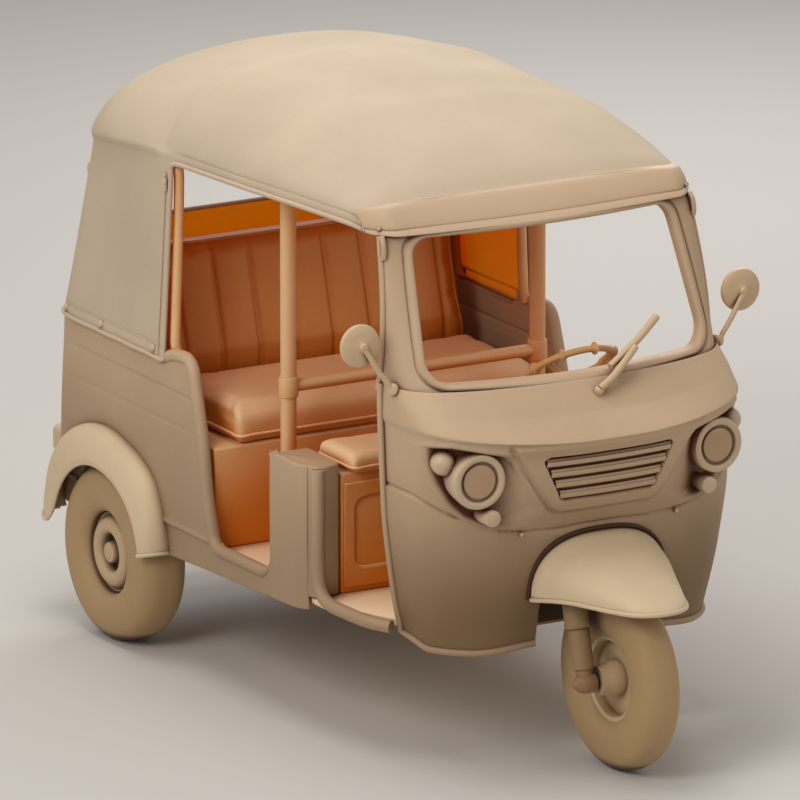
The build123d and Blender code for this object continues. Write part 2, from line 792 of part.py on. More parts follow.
def make_wiper(panel):
    """Pivot on the cowl, an arm, and a blade lying across the screen's opening."""
    pivot = point(15, 102, cowl_height - 42)
    elbow = point(190, 206, cowl_height + 48)
    radius = 6.0
    wiper = rod(pivot, elbow, radius)
    wiper += rod(point(100, 182, cowl_height + 14), point(279, 258, cowl_height + 124), radius)
    wiper += rod(elbow, point(190, 218, cowl_height + 68), radius)
    boss = rod(pivot + Vector(0, 60, -20), pivot - Vector(0, 12, -4), 12) - panel
    return wiper + min(boss.solids(), key=lambda solid: solid.center().Y)


def main():
    lining = hood_lining()
    nose_inside = nose_solid(nose_wall, 40)
    whole_panel = make_front_panel(nose_inside)
    front_panel = whole_panel - grille_prism()
    windscreen_frame = make_windscreen_frame()
    engine = make_engine()
    head_space = rod(steering_point, steering_point + rake_up * stem_high, head_radius)
    parts = {
        "front_panel": front_panel,
        "grille": make_grille(whole_panel),
        "front_wheel_well": make_well(nose_inside, head_space),
        "front_mudguard": make_mudguard(),
        "windscreen_frame": windscreen_frame,
        "roof_visor": make_visor(),
        "wiper": make_wiper(front_panel),
        "mirrors": make_mirrors(windscreen_frame),
        "floor_pan": make_floor(),
        "chassis_frame": make_chassis(),
        "rear_panel": make_rear_panel(),
        "engine_lid": make_engine_lid(),
        "rear_bumper": make_rear_bumper(),
        "tail_lamps": make_tail_lamps(),
        "passenger_seat_base": make_seat_base(),
        "passenger_seat_cushion": make_seat_cushion(),
        "passenger_seat_back": make_seat_back(),
        "driver_seat_box": make_driver_seat_box(),
        "driver_seat_cushion": make_driver_cushion(),
        "hood": make_hood(lining),
        "hood_frame": make_hood_frame(lining),
        "partition_frame": make_partition_frame(lining),
        "engine_block": engine,
        "steering_head": make_steering_head(),
        "steering_wheel": make_steering_wheel(),
        "steering_column": make_steering_column(),
        "front_fork": make_fork(),
        "front_tyre": make_tyre(0, front_tyre_width, 0),
        "front_rim": make_rim(0, front_tyre_width, 0, 1),
    }
    headlamps, dampers, shafts = [], [], []
    for side, name in ((1, "left"), (-1, "right")):
        headlamp = make_headlamp(side)
        arm = make_trailing_arm(side)
        headlamps.append(headlamp)
        dampers.append(make_damper(side, arm))
        shafts.append(make_drive_shaft(side, arm, engine))
        parts[f"headlamp_{name}"] = headlamp
        parts[f"body_side_{name}"] = make_body_side(side)
        parts[f"side_box_{name}"] = make_side_box(side)
        parts[f"rear_fender_{name}"] = make_fender(side)
        parts[f"trailing_arm_{name}"] = arm
        parts[f"rear_tyre_{name}"] = make_tyre(side * rear_wheel_side, rear_tyre_width, wheelbase)
        parts[f"rear_rim_{name}"] = make_rim(side * rear_wheel_side, rear_tyre_width, wheelbase, side)
    parts["small_lamps"] = make_small_lamps(headlamps)
    parts["rear_dampers"] = Compound(children=dampers)
    parts["drive_shafts"] = Compound(children=shafts)
    os.makedirs("parts", exist_ok=True)
    for name, shape in parts.items():
        export_step(shape, f"parts/{name}.step")


main()
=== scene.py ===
import math

import bmesh
import bpy
from mathutils import Matrix, Vector


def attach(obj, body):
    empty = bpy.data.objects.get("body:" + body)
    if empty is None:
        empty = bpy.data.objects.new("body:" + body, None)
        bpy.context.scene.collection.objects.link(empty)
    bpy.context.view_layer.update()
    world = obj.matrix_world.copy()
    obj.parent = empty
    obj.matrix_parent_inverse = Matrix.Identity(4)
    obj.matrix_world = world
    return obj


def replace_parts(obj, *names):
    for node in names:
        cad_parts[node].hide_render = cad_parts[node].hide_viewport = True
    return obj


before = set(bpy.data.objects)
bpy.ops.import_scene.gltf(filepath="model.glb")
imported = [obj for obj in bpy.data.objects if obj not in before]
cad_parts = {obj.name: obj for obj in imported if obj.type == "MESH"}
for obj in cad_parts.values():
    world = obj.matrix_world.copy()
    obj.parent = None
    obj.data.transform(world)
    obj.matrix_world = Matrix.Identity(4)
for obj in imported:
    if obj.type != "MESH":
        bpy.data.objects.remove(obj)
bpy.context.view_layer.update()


# ==== Camera, lamps and floor =====================================================
# The vehicle stands on a plain pale floor under soft lamps, and is seen from its
# front right corner through a long lens. A station is a distance behind the front
# axle, in metres, and spot() turns one into a place in the frame.
front_axle = -0.985
scene = bpy.context.scene
scene.view_settings.view_transform = "Standard"


def spot(x, station, height):
    return Vector((x, station + front_axle, height))


def deselect():
    bpy.ops.object.select_all(action="DESELECT")


eye = Vector((-15.5533, -26.7285, 9.2512))
looked_at = Vector((-0.11774, 0.00668, 0.81656))
deselect()
bpy.ops.object.camera_add(location=eye)
camera = bpy.context.object
camera.name = "camera"
camera.rotation_euler = (looked_at - eye).to_track_quat("-Z", "Y").to_euler()
camera.data.lens = 519.8
camera.data.sensor_width = 36.0
camera.data.clip_end = 300.0
scene.camera = camera

# name, place, power in watts, size in metres, colour
lamps = [
    ("top_lamp", (-0.8, 0.3, 6.6), 145.0, 3.2, (1.0, 0.975, 0.95)),
    ("key_lamp", (-5.5, -2.4, 4.6), 165.0, 3.0, (1.0, 0.96, 0.91)),
    ("front_lamp", (4.5, -6.5, 2.6), 60.0, 3.5, (1.0, 0.93, 0.86)),
    ("rim_lamp", (4.5, 5.5, 5.0), 200.0, 3.0, (1.0, 0.97, 0.94)),
]
for name, place, power, size, colour in lamps:
    bpy.ops.object.light_add(type="AREA", location=place)
    lamp = bpy.context.object
    lamp.name = name
    lamp.rotation_euler = (Vector((0, 0, 0.7)) - Vector(place)).to_track_quat("-Z", "Y").to_euler()
    lamp.data.energy = power
    lamp.data.size = size
    lamp.data.color = colour

deselect()
bpy.ops.mesh.primitive_plane_add(size=90.0)
floor = bpy.context.object
floor.name = "studio_floor"
floor_paint = bpy.data.materials.new("pale_floor")
floor_paint.use_nodes = True
floor_shader = floor_paint.node_tree.nodes["Principled BSDF"]
floor_shader.inputs["Base Color"].default_value = (0.66, 0.645, 0.62, 1)
floor_shader.inputs["Roughness"].default_value = 0.9
floor_shader.inputs["Specular IOR Level"].default_value = 0.2
floor.data.materials.append(floor_paint)

world = bpy.data.worlds.new("studio")
scene.world = world
world.use_nodes = True
sky = world.node_tree
sky_light = sky.nodes["Background"]
sky_light.inputs["Color"].default_value = (1.0, 0.955, 0.90, 1)
sky_light.inputs["Strength"].default_value = 0.33
sky_seen = sky.nodes.new("ShaderNodeBackground")
sky_seen.inputs["Color"].default_value = (0.86, 0.845, 0.82, 1)
ray = sky.nodes.new("ShaderNodeLightPath")
seen = ray.outputs["Is Camera Ray"]
for kind in ("Is Glossy Ray", "Is Transmission Ray"):
    either = sky.nodes.new("ShaderNodeMath")
    either.operation = "MAXIMUM"
    sky.links.new(seen, either.inputs[0])
    sky.links.new(ray.outputs[kind], either.inputs[1])
    seen = either.outputs[0]
sky_mix = sky.nodes.new("ShaderNodeMixShader")
sky.links.new(seen, sky_mix.inputs["Fac"])
sky.links.new(sky_light.outputs[0], sky_mix.inputs[1])
sky.links.new(sky_seen.outputs[0], sky_mix.inputs[2])
sky.links.new(sky_mix.outputs[0], sky.nodes["World Output"].inputs["Surface"])


# ==== Chassis, floor and running gear ==============================================
# Welded steel box rails and pressed sheet, painted with the rest of the vehicle.
# Their shapes are the CAD pieces, merged and with every sharp edge rounded.
def linear(red, green, blue):
    """A colour from screen values of 0 to 255."""
    return tuple(((c / 255 + 0.055) / 1.055) ** 2.4 if c > 10 else c / 3294.6 for c in (red, green, blue)) + (1,)


def effect_group(name, inputs, outputs, parts, wires):
    """A shader node group from its sockets, its nodes with their settings and values, and its wires."""
    group = bpy.data.node_groups.new(name, "ShaderNodeTree")
    for socket, kind, value in inputs:
        made = group.interface.new_socket(name=socket, in_out="INPUT", socket_type=kind)
        if value is not None:
            made.default_value = value
    for socket, kind in outputs:
        group.interface.new_socket(name=socket, in_out="OUTPUT", socket_type=kind)
    nodes = {"enter": group.nodes.new("NodeGroupInput"), "leave": group.nodes.new("NodeGroupOutput")}
    for key, kind, settings, values in parts:
        nodes[key] = group.nodes.new("ShaderNode" + kind)
        for setting, value in settings.items():
            setattr(nodes[key], setting, value)
        for socket, value in values.items():
            nodes[key].inputs[socket].default_value = value
    for wire in wires.split(", "):
        # "node.socket > node.socket", with a socket's number where it has no name of its own
        (source, output), (target, socket) = [end.split(".") for end in wire.split(" > ")]
        sockets = nodes[source].outputs, nodes[target].inputs
        ends = [among[int(key) if key.isdigit() else key] for among, key in zip(sockets, (output, socket))]
        group.links.new(*ends)
    return group


NUMBER, TINT = "NodeSocketFloat", "NodeSocketColor"
PRODUCT, SCALED_SUM = {"operation": "MULTIPLY"}, {"operation": "MULTIPLY_ADD"}

# painted shade: a deep tone gathers where surfaces come close together, less on faces turned up to the light
painted_shade_group = effect_group(
    "crevice_painted_shade",
    [("Colour", TINT, None), ("Deep", TINT, None), ("Amount", NUMBER, 1.0), ("Reach", NUMBER, 0.06),
     ("Topside", NUMBER, 0.0)],
    [("Colour", TINT)],
    [("closeness", "AmbientOcclusion", {"samples": 6}, {}),
     ("curve", "MapRange", {"interpolation_type": "SMOOTHSTEP"},
      {"From Min": 0.30, "From Max": 0.88, "To Min": 1.0, "To Max": 0.0}),
     ("share", "Math", PRODUCT, {}),
     ("tone", "Mix", {"data_type": "RGBA"}, {}),
     ("shape", "NewGeometry", {}, {}),
     ("facing", "SeparateXYZ", {}, {}),
     ("upward", "Math", {**PRODUCT, "use_clamp": True}, {}),
     ("lessened", "Math", {"operation": "SUBTRACT", "use_clamp": True}, {})],
    "enter.Reach > closeness.Distance, closeness.AO > curve.Value, curve.Result > share.0, "
    "shape.Normal > facing.Vector, facing.Z > upward.0, enter.Topside > upward.1, enter.Amount > lessened.0, "
    "upward.0 > lessened.1, lessened.0 > share.1, share.0 > tone.Factor, enter.Colour > tone.A, "
    "enter.Deep > tone.B, tone.Result > leave.Colour")

# broad soft patches of a lighter and a darker tone, and fine specks
patch_group = effect_group(
    "patchy_coat",
    [("Colour", TINT, None), ("Amount", NUMBER, 0.5), ("Scale", NUMBER, 3.0), ("Rough", NUMBER, 0.5)],
    [("Colour", TINT), ("Rough", NUMBER)],
    [("where", "TexCoord", {}, {}),
     ("patches", "TexNoise", {}, {"Detail": 4.0, "Roughness": 0.55}),
     ("specks", "TexNoise", {}, {"Scale": 90.0, "Detail": 2.0}),
     ("both", "Math", SCALED_SUM, {1: 0.25}),
     ("level", "MapRange", {}, {"From Min": 0.35, "From Max": 0.85, "To Min": -1.0, "To Max": 1.0}),
     ("swing", "Math", SCALED_SUM, {1: 0.12, 2: 1.0}),
     ("scaled", "Math", PRODUCT, {}),
     ("tinted", "VectorMath", {"operation": "SCALE"}, {}),
     ("gloss", "Math", SCALED_SUM, {1: -0.08})],
    "where.Object > patches.Vector, where.Object > specks.Vector, enter.Scale > patches.Scale, "
    "specks.Fac > both.0, patches.Fac > both.2, both.0 > level.Value, level.Result > scaled.0, "
    "enter.Amount > scaled.1, scaled.0 > swing.0, enter.Colour > tinted.0, swing.0 > tinted.Scale, "
    "tinted.0 > leave.Colour, scaled.0 > gloss.0, enter.Rough > gloss.2, gloss.0 > leave.Rough")

# lighter tone on outward edges: partly rubbed wear, partly painted highlight
wear_and_highlight_group = effect_group(
    "rubbed_and_highlit_edges", [("Colour", TINT, None), ("Amount", NUMBER, 0.5)], [("Colour", TINT)],
    [("shape", "NewGeometry", {}, {}),
     ("edge", "MapRange", {}, {"From Min": 0.52, "From Max": 0.62}),
     ("where", "TexCoord", {}, {}),
     ("breaks", "TexNoise", {}, {"Scale": 14.0, "Detail": 5.0}),
     ("broken", "Math", PRODUCT, {}),
     ("worn", "Math", PRODUCT, {}),
     ("pale", "Mix", {"data_type": "RGBA", "blend_type": "SCREEN"}, {"B": (0.30, 0.27, 0.22, 1)})],
    "shape.Pointiness > edge.Value, where.Object > breaks.Vector, edge.Result > broken.0, breaks.Fac > broken.1, "
    "broken.0 > worn.0, enter.Amount > worn.1, worn.0 > pale.Factor, enter.Colour > pale.A, "
    "pale.Result > leave.Colour")

# painted shade: a brown tone that deepens towards the ground, with a ragged upper edge
low_shade_group = effect_group(
    "painted_low_shade", [("Colour", TINT, None), ("Film", TINT, (0.150, 0.080, 0.026, 1)), ("Amount", NUMBER, 0.5)],
    [("Colour", TINT)],
    [("where", "TexCoord", {}, {}),
     ("parts", "SeparateXYZ", {}, {}),
     ("blots", "TexNoise", {}, {"Scale": 2.4, "Detail": 3.0}),
     ("uneven", "Math", SCALED_SUM, {1: 0.25}),
     ("low_down", "MapRange", {"interpolation_type": "SMOOTHSTEP"}, {"From Min": 1.05, "From Max": 0.52}),
     ("amount", "Math", PRODUCT, {}),
     ("filmed", "Mix", {"data_type": "RGBA"}, {})],
    "where.Object > parts.Vector, where.Object > blots.Vector, blots.Fac > uneven.0, parts.Z > uneven.2, "
    "uneven.0 > low_down.Value, low_down.Result > amount.0, enter.Amount > amount.1, amount.0 > filmed.Factor, "
    "enter.Colour > filmed.A, enter.Film > filmed.B, filmed.Result > leave.Colour")

# fine unevenness of a sprayed or moulded skin
grain_group = effect_group(
    "fine_grain", [("Scale", NUMBER, 220.0), ("Waviness", NUMBER, 0.3)], [("Height", NUMBER)],
    [("where", "TexCoord", {}, {}),
     ("fine", "TexNoise", {}, {"Detail": 3.0}),
     ("waves", "TexNoise", {}, {"Scale": 9.0}),
     ("whole", "Math", SCALED_SUM, {})],
    "where.Object > fine.Vector, where.Object > waves.Vector, enter.Scale > fine.Scale, waves.Fac > whole.0, "
    "enter.Waviness > whole.1, fine.Fac > whole.2, whole.0 > leave.Height")


def place_group(tree, group, **values):
    """A node group placed in a material, with its own values."""
    node = tree.nodes.new("ShaderNodeGroup")
    node.node_tree = group
    for socket, value in values.items():
        node.inputs[socket].default_value = value
    return node


def coat(name, colour, deep, rough, patch=0.5, wear_and_highlight=0.4, amount=0.9, reach=0.06, grain=220.0, bump=0.08,
         waviness=0.3, specular=0.4, film=0.0, topside=0.0):
    """A sprayed or moulded finish: patches, worn edges with painted highlight, painted shade in crevices and, if asked,
    low down, fine grain.
    """
    material = bpy.data.materials.new(name)
    material.use_nodes = True
    tree = material.node_tree
    shader = tree.nodes["Principled BSDF"]
    shader.inputs["Specular IOR Level"].default_value = specular
    patchy = place_group(tree, patch_group, Colour=colour, Amount=patch, Scale=3.0, Rough=rough)
    rubbed_and_highlit = place_group(tree, wear_and_highlight_group, Amount=wear_and_highlight)
    crevice = place_group(tree, painted_shade_group, Deep=deep, Amount=amount, Reach=reach, Topside=topside)
    grainy = place_group(tree, grain_group, Scale=grain, Waviness=waviness)
    relief = tree.nodes.new("ShaderNodeBump")
    relief.inputs["Strength"].default_value = bump
    relief.inputs["Distance"].default_value = 0.002
    tree.links.new(patchy.outputs["Colour"], rubbed_and_highlit.inputs["Colour"])
    tree.links.new(rubbed_and_highlit.outputs["Colour"], crevice.inputs["Colour"])
    if film:
        filmed = place_group(tree, low_shade_group, Amount=film)
        tree.links.new(rubbed_and_highlit.outputs["Colour"], filmed.inputs["Colour"])
        tree.links.new(filmed.outputs["Colour"], crevice.inputs["Colour"])
    tree.links.new(crevice.outputs["Colour"], shader.inputs["Base Color"])
    tree.links.new(patchy.outputs["Rough"], shader.inputs["Roughness"])
    tree.links.new(grainy.outputs["Height"], relief.inputs["Height"])
    tree.links.new(relief.outputs["Normal"], shader.inputs["Normal"])
    return material


def take(*pieces):
    """Selects some pieces and nothing else; the first is the active one."""
    deselect()
    for piece in pieces:
        piece.select_set(True)
    bpy.context.view_layer.objects.active = pieces[0]


def edit_all(piece):
    """Opens one piece in edit mode with all of it selected."""
    take(piece)
    bpy.ops.object.mode_set(mode="EDIT")
    bpy.ops.mesh.select_all(action="SELECT")


def leave_edit():
    bpy.ops.object.mode_set(mode="OBJECT")


def smooth_shade(degrees):
    """Shades the selected piece smooth, but for edges sharper than an angle."""
    bpy.ops.object.shade_smooth_by_angle(angle=math.radians(degrees))


def apply_all(piece):
    """Applies every modifier on a piece, in order."""
    take(piece)
    for modifier in [m.name for m in piece.modifiers]:
        bpy.ops.object.modifier_apply(modifier=modifier)


def round_edges(piece, width, segments=3, angle=32.0):
    """Bevels every edge sharper than the angle, and shades the rest smooth."""
    bevel = piece.modifiers.new("rounding", "BEVEL")
    bevel.width = width
    bevel.segments = segments
    bevel.limit_method = "ANGLE"
    bevel.angle_limit = math.radians(angle)
    bevel.use_clamp_overlap = False
    bevel.miter_outer = "MITER_ARC"
    apply_all(piece)
    smooth_shade(angle + 8)


def softened(node, name, width, angle=32.0, segments=3):
    """A merged copy of a CAD piece with its sharp edges rounded."""
    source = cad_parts[node]
    mesh = source.data.copy()
    piece = bpy.data.objects.new(name, mesh)
    scene.collection.objects.link(piece)
    mesh.materials.clear()
    edit_all(piece)
    bpy.ops.mesh.customdata_custom_splitnormals_clear()
    bpy.ops.mesh.remove_doubles(threshold=0.00002)
    bpy.ops.mesh.dissolve_limited(angle_limit=math.radians(0.5))
    leave_edit()
    round_edges(piece, width, segments, angle)
    return piece


# the dark brown of the painted shade in crevices and seams
painted_shade_brown = linear(92, 38, 14)
frame_finish = coat("frame_paint", linear(172, 140, 104), painted_shade_brown, 0.62, film=0.4)
# cabin steel: a paler copy of the tan whose vivid orange deep tone reaches far, painted glow and painted shade inside
# the cabin
cabin_paint = coat("cabin_paint", linear(236, 192, 140), linear(214, 116, 0), 0.60, amount=1.0, reach=0.8,
                   topside=0.9)
for node, width in (("chassis_frame", 0.003), ("trailing_arm_left", 0.004), ("trailing_arm_right", 0.004),
                    ("rear_dampers", 0.002), ("drive_shafts", 0.002), ("engine_block", 0.018)):
    piece = softened(node, node + "_piece", width)
    piece.data.materials.append(frame_finish)
    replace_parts(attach(piece, "body"), node)

# the floor's edge is lifted clear of the doorway's bead
floor_pan = softened("floor_pan", "floor_pan_piece", 0.003)
for point in floor_pan.data.vertices:
    point.co.z = max(point.co.z, 0.364)
    if point.co.y < 0.45 + front_axle:
        point.co.x = max(-0.432, min(0.432, point.co.x))
        point.co.y = max(point.co.y, 0.235 + front_axle) if abs(point.co.x) > 0.30 else point.co.y
# a paler copy of the tan: painted light on the cabin floor, with painted shade in its creases
floor_pan_lit_paint = coat("floor_paint", linear(250, 220, 180), linear(160, 90, 36), 0.62, reach=0.08)
floor_pan.data.materials.append(floor_pan_lit_paint)
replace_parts(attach(floor_pan, "body"), "floor_pan")


# ==== Front panel ==================================================================
# The nose: one pressed steel sheet with a brow over the lamps, a pocket for each
# lamp, a raised surround for the grille and an arch over the steered wheel.
body_colour = linear(196, 168, 137)
body_paint = coat("body_paint", body_colour, painted_shade_brown, 0.56, patch=0.45, wear_and_highlight=0.5, film=0.45)


def through(before, start, end, after, share):
    """A place between start and end on the smooth curve through four points."""
    square, cube = share * share, share * share * share
    return 0.5 * ((2 * start) + (end - before) * share + (2 * before - 5 * start + 4 * end - after) * square
                  + (3 * start - before - 3 * end + after) * cube)


def smooth_path(points, steps):
    """Points on a smooth curve; steps is a number for every gap, or one for each."""
    points = [Vector(p) for p in points]
    if isinstance(steps, int):
        steps = [steps] * (len(points) - 1)
    ends = [2 * points[0] - points[1], *points, 2 * points[-1] - points[-2]]
    path = []
    for number, count in enumerate(steps):
        path += [through(*ends[number:number + 4], k / count) for k in range(count)]
    return path + [points[-1]]


def shaped(name, places):
    """The piece just added, given its name and with its points moved to their places."""
    piece = bpy.context.object
    piece.name = name
    for point, place in zip(piece.data.vertices, places, strict=True):
        point.co = place
    piece.data.update()
    return piece


def shaped_grid(name, rows):
    """A flat grid whose points are moved, row by row, onto a curved surface."""
    deselect()
    bpy.ops.mesh.primitive_grid_add(x_subdivisions=len(rows[0]) - 1, y_subdivisions=len(rows) - 1, size=1.0)
    return shaped(name, [p for row in rows for p in row])


def face_towards(piece, direction):
    """Turns an open sheet over if most of it faces away from a direction."""
    facing = sum((p.normal * p.area for p in piece.data.polygons), Vector())
    if facing.dot(Vector(direction)) < 0:
        edit_all(piece)
        bpy.ops.mesh.flip_normals()
        leave_edit()


def thicken(piece, thickness, facing=None, offset=-1.0):
    """Gives a sheet its thickness, on the side away from where it faces or is turned to face."""
    if facing:
        face_towards(piece, facing)
    wall = piece.modifiers.new("thickness", "SOLIDIFY")
    wall.thickness = thickness
    wall.offset = offset
    wall.use_even_offset = False
    apply_all(piece)


def depth_inside(x, z, outline):
    """How far a place on the nose lies inside a closed outline; negative outside."""
    nearest, inside = 9.0, False
    for number, (x1, z1) in enumerate(outline):
        x0, z0 = outline[number - 1]
        run, rise = x1 - x0, z1 - z0
        share = max(0.0, min(1.0, ((x - x0) * run + (z - z0) * rise) / (run * run + rise * rise)))
        nearest = min(nearest, math.hypot(x - x0 - share * run, z - z0 - share * rise))
        if (z0 > z) != (z1 > z) and x < x0 + run * (z - z0) / rise:
            inside = not inside
    return nearest if inside else -nearest


def ease(value, low, high):
    """0 below low, 1 above high, smooth between."""
    share = max(0.0, min(1.0, (value - low) / (high - low)))
    return share * share * (3 - 2 * share)


nose_foot = 0.325
cowl_half_width = 0.521


def ridge(value, line, width):
    """1 on a line, fading to nothing about two widths away."""
    return math.exp(-((value - line) / width) ** 2)


def bottom_lift(x, z):
    """How far the nose's lower edge curves up beside the arch."""
    beside_arch = 0.015 * ease(0.36 - abs(x), 0.0, 0.19) * (1 - ease(z, nose_foot, 0.50))
    return beside_arch + 0.030 * ease(abs(x), 0.428, 0.462) ** 1.5 * (1 - ease(z, nose_foot, 0.44))


# half width and station at eight places across, from the middle to the door edge, at each height
nose_levels = [
    (nose_foot, [(0, 0.148), (0.12, 0.150), (0.24, 0.156), (0.31, 0.172), (0.365, 0.202), (0.412, 0.250),
                 (0.443, 0.315), (0.458, 0.392)]),
    (0.50, [(0, 0.120), (0.12, 0.121), (0.24, 0.128), (0.325, 0.146), (0.39, 0.176), (0.440, 0.222),
            (0.474, 0.292), (0.488, 0.390)]),
    (0.66, [(0, 0.108), (0.12, 0.110), (0.24, 0.118), (0.33, 0.140), (0.40, 0.170), (0.455, 0.210),
            (0.495, 0.272), (0.507, 0.394)]),
    (0.763, [(0, 0.064), (0.12, 0.067), (0.24, 0.092), (0.33, 0.128), (0.40, 0.163), (0.457, 0.206),
             (0.500, 0.270), (0.512, 0.397)]),
    (0.83, [(0, 0.055), (0.12, 0.059), (0.24, 0.082), (0.33, 0.116), (0.40, 0.152), (0.459, 0.194),
            (0.503, 0.262), (0.515, 0.398)]),
    (0.887, [(0, 0.047), (0.12, 0.051), (0.24, 0.072), (0.33, 0.102), (0.402, 0.135), (0.461, 0.180),
             (0.505, 0.254), (0.517, 0.398)]),
]
brow = [(0, 0.006, 0.930), (0.12, 0.009, 0.931), (0.24, 0.034, 0.935), (0.33, 0.069, 0.940),
        (0.402, 0.105, 0.947), (0.460, 0.150, 0.955), (0.506, 0.234, 0.965), (0.521, 0.398, 0.976)]
cowl_middle = [(0, 0.090, 0.990), (0.12, 0.094, 0.990), (0.24, 0.112, 0.992), (0.33, 0.139, 0.996),
               (0.40, 0.168, 1.001), (0.458, 0.206, 1.007), (0.504, 0.274, 1.014), (0.521, 0.398, 1.021)]
cowl_top = [(0, 0.186, 1.052), (0.12, 0.190, 1.052), (0.24, 0.204, 1.052), (0.33, 0.222, 1.052),
            (0.40, 0.243, 1.053), (0.455, 0.270, 1.054), (0.499, 0.322, 1.056), (0.520, 0.398, 1.060)]
seam_line = [(0.0, 0.665), (0.125, 0.663), (0.24, 0.665), (0.33, 0.682), (0.395, 0.708), (0.45, 0.735),
             (0.48, 0.755), (0.505, 0.775), (0.54, 0.785)]
lamp_pocket = [(0.492, 0.918), (0.445, 0.921), (0.38, 0.907), (0.325, 0.897), (0.28, 0.888), (0.245, 0.845),
               (0.195, 0.775), (0.165, 0.742), (0.195, 0.697), (0.265, 0.687), (0.33, 0.693), (0.395, 0.722),
               (0.43, 0.760), (0.46, 0.810), (0.481, 0.865)]
grille_surround = [(0.30, 0.925), (0.262, 0.870), (0.236, 0.832), (0.196, 0.768), (0.168, 0.731),
                   (0.145, 0.718), (-0.145, 0.718), (-0.168, 0.731), (-0.196, 0.768), (-0.236, 0.832),
                   (-0.262, 0.870), (-0.30, 0.925)]
grille_opening = [(0.188, 0.888), (0.200, 0.878), (0.199, 0.868), (0.150, 0.762), (0.138, 0.754),
                  (-0.138, 0.754), (-0.150, 0.762), (-0.199, 0.868), (-0.200, 0.878), (-0.188, 0.888)]
arch_half_width = 0.18
arch_height = 0.585
across_steps = [18, 30, 24, 18, 18, 12, 12]
up_steps = [8, 16, 36, 24, 20, 18]


def pick(piece, kind, numbers):
    """Opens a piece in edit mode with only some of its points or faces selected."""
    edit_all(piece)
    bpy.ops.mesh.select_all(action="DESELECT")
    leave_edit()
    parts = getattr(piece.data, kind)
    for number in numbers:
        parts[number].select = True
    bpy.ops.object.mode_set(mode="EDIT")


def both_sides(points, steps):
    """The nose's whole width at one height, from one door edge to the other."""
    mirrored = [(-x, s, z) for x, s, z in reversed(points[1:])]
    path = smooth_path(mirrored + list(points), steps[::-1] + steps)
    return [spot(*p) for p in path]


nose_sections = [both_sides([(x, s, z) for x, s in places], across_steps) for z, places in nose_levels]
brow_section, middle_section, top_section = [both_sides(p, across_steps) for p in (brow, cowl_middle, cowl_top)]
nose_columns = []
for number in range(len(brow_section)):
    lower = smooth_path([section[number] for section in nose_sections] + [brow_section[number]], up_steps)
    shelf = middle_section[number]
    shelf = shelf + Vector((0, 0.016, -0.010)) * (1 - (shelf.x / cowl_half_width) ** 2)
    upper = smooth_path([brow_section[number], shelf], [14])[:-1] + smooth_path([shelf, top_section[number]], [10])
    nose_columns.append(lower + upper[1:])
nose = shaped_grid("front_panel_skin", [list(row) for row in zip(*nose_columns)])
face_towards(nose, (0, -1, 0))
brow_row = sum(up_steps)
columns = len(nose_columns)
rows_below_brow = brow_row * columns
pick(nose, "vertices", range(rows_below_brow - columns * 2, rows_below_brow + columns * 3))
bpy.ops.mesh.vertices_smooth(factor=0.5, repeat=4)
leave_edit()

outward = [point.normal.copy() for point in nose.data.vertices]
for point, normal in zip(nose.data.vertices[:rows_below_brow], outward):
    x, z = abs(point.co.x), point.co.z
    if z < 0.6:
        continue
    seam_height = next(z0 + (z1 - z0) * (x - x0) / (x1 - x0)
                       for (x0, z0), (x1, z1) in zip(seam_line, seam_line[1:]) if x <= x1)
    below_seam = seam_height - z
    push = -0.005 * (1 - ease(below_seam, -0.003, 0.003))
    push -= 0.0055 * ridge(below_seam, 0, 0.0045)
    inside = depth_inside(x, z, lamp_pocket)
    outer_share = ease(x, 0.20, 0.36)
    push -= (0.009 + 0.017 * outer_share) * ease(inside, 0.0, 0.055 - 0.043 * outer_share)
    push += 0.0065 * outer_share * ridge(inside, -0.009, 0.006)
    push -= 0.006 * outer_share * ridge(inside, 0.008, 0.004)
    raised = depth_inside(x, z, grille_surround)
    push += 0.011 * ease(raised, -0.001, 0.009) - 0.0055 * ridge(raised, -0.005, 0.0045)
    push -= 0.024 * ease(depth_inside(x, z, grille_opening), -0.001, 0.006)
    brow_height = 0.930 + 0.034 * (x / cowl_half_width) ** 2.4
    point.co += normal * push * ease(brow_height - z, 0.0, 0.016)

pick(nose, "polygons", [face.index for face in nose.data.polygons
                        if abs(face.center.x) < arch_half_width - 0.001 and face.center.z < arch_height])
bpy.ops.mesh.select_mode(type="FACE")
bpy.ops.mesh.delete(type="FACE")
leave_edit()
for point in nose.data.vertices:
    point.co.z += bottom_lift(point.co.x, point.co.z)
thicken(nose, 0.008)
smooth_shade(50)
# the body paint with more painted shade towards the ground, darkening the nose's lower part
nose_shaded_paint = coat("nose_shaded_paint", body_colour, painted_shade_brown, 0.56, patch=0.45, wear_and_highlight=0.5, film=0.85)
nose.data.materials.append(nose_shaded_paint)
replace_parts(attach(nose, "body"), "front_panel")


def tube(name, path, radius, sides=6, closed=False, swell=None):
    """A round bar or rolled edge along a path, with closed ends; swell scales its radius along the way."""
    line = bpy.data.curves.new(name, "CURVE")
    line.dimensions = "3D"
    line.bevel_depth = radius
    line.bevel_resolution = sides
    line.use_fill_caps = True
    run = line.splines.new("POLY")
    run.points.add(len(path) - 1)
    for number, (point, place) in enumerate(zip(run.points, path)):
        point.co = (*place, 1)
        point.radius = 1.0 if swell is None else swell(number / (len(path) - 1))
    run.use_cyclic_u = closed
    piece = bpy.data.objects.new(name, line)
    scene.collection.objects.link(piece)
    take(piece)
    bpy.ops.object.convert(target="MESH")
    piece = bpy.context.object
    smooth_shade(40)
    return piece


def join(name, pieces):
    """Several meshes made into one piece."""
    take(*pieces)
    bpy.ops.object.join()
    joined = bpy.context.object
    joined.name = name
    return joined


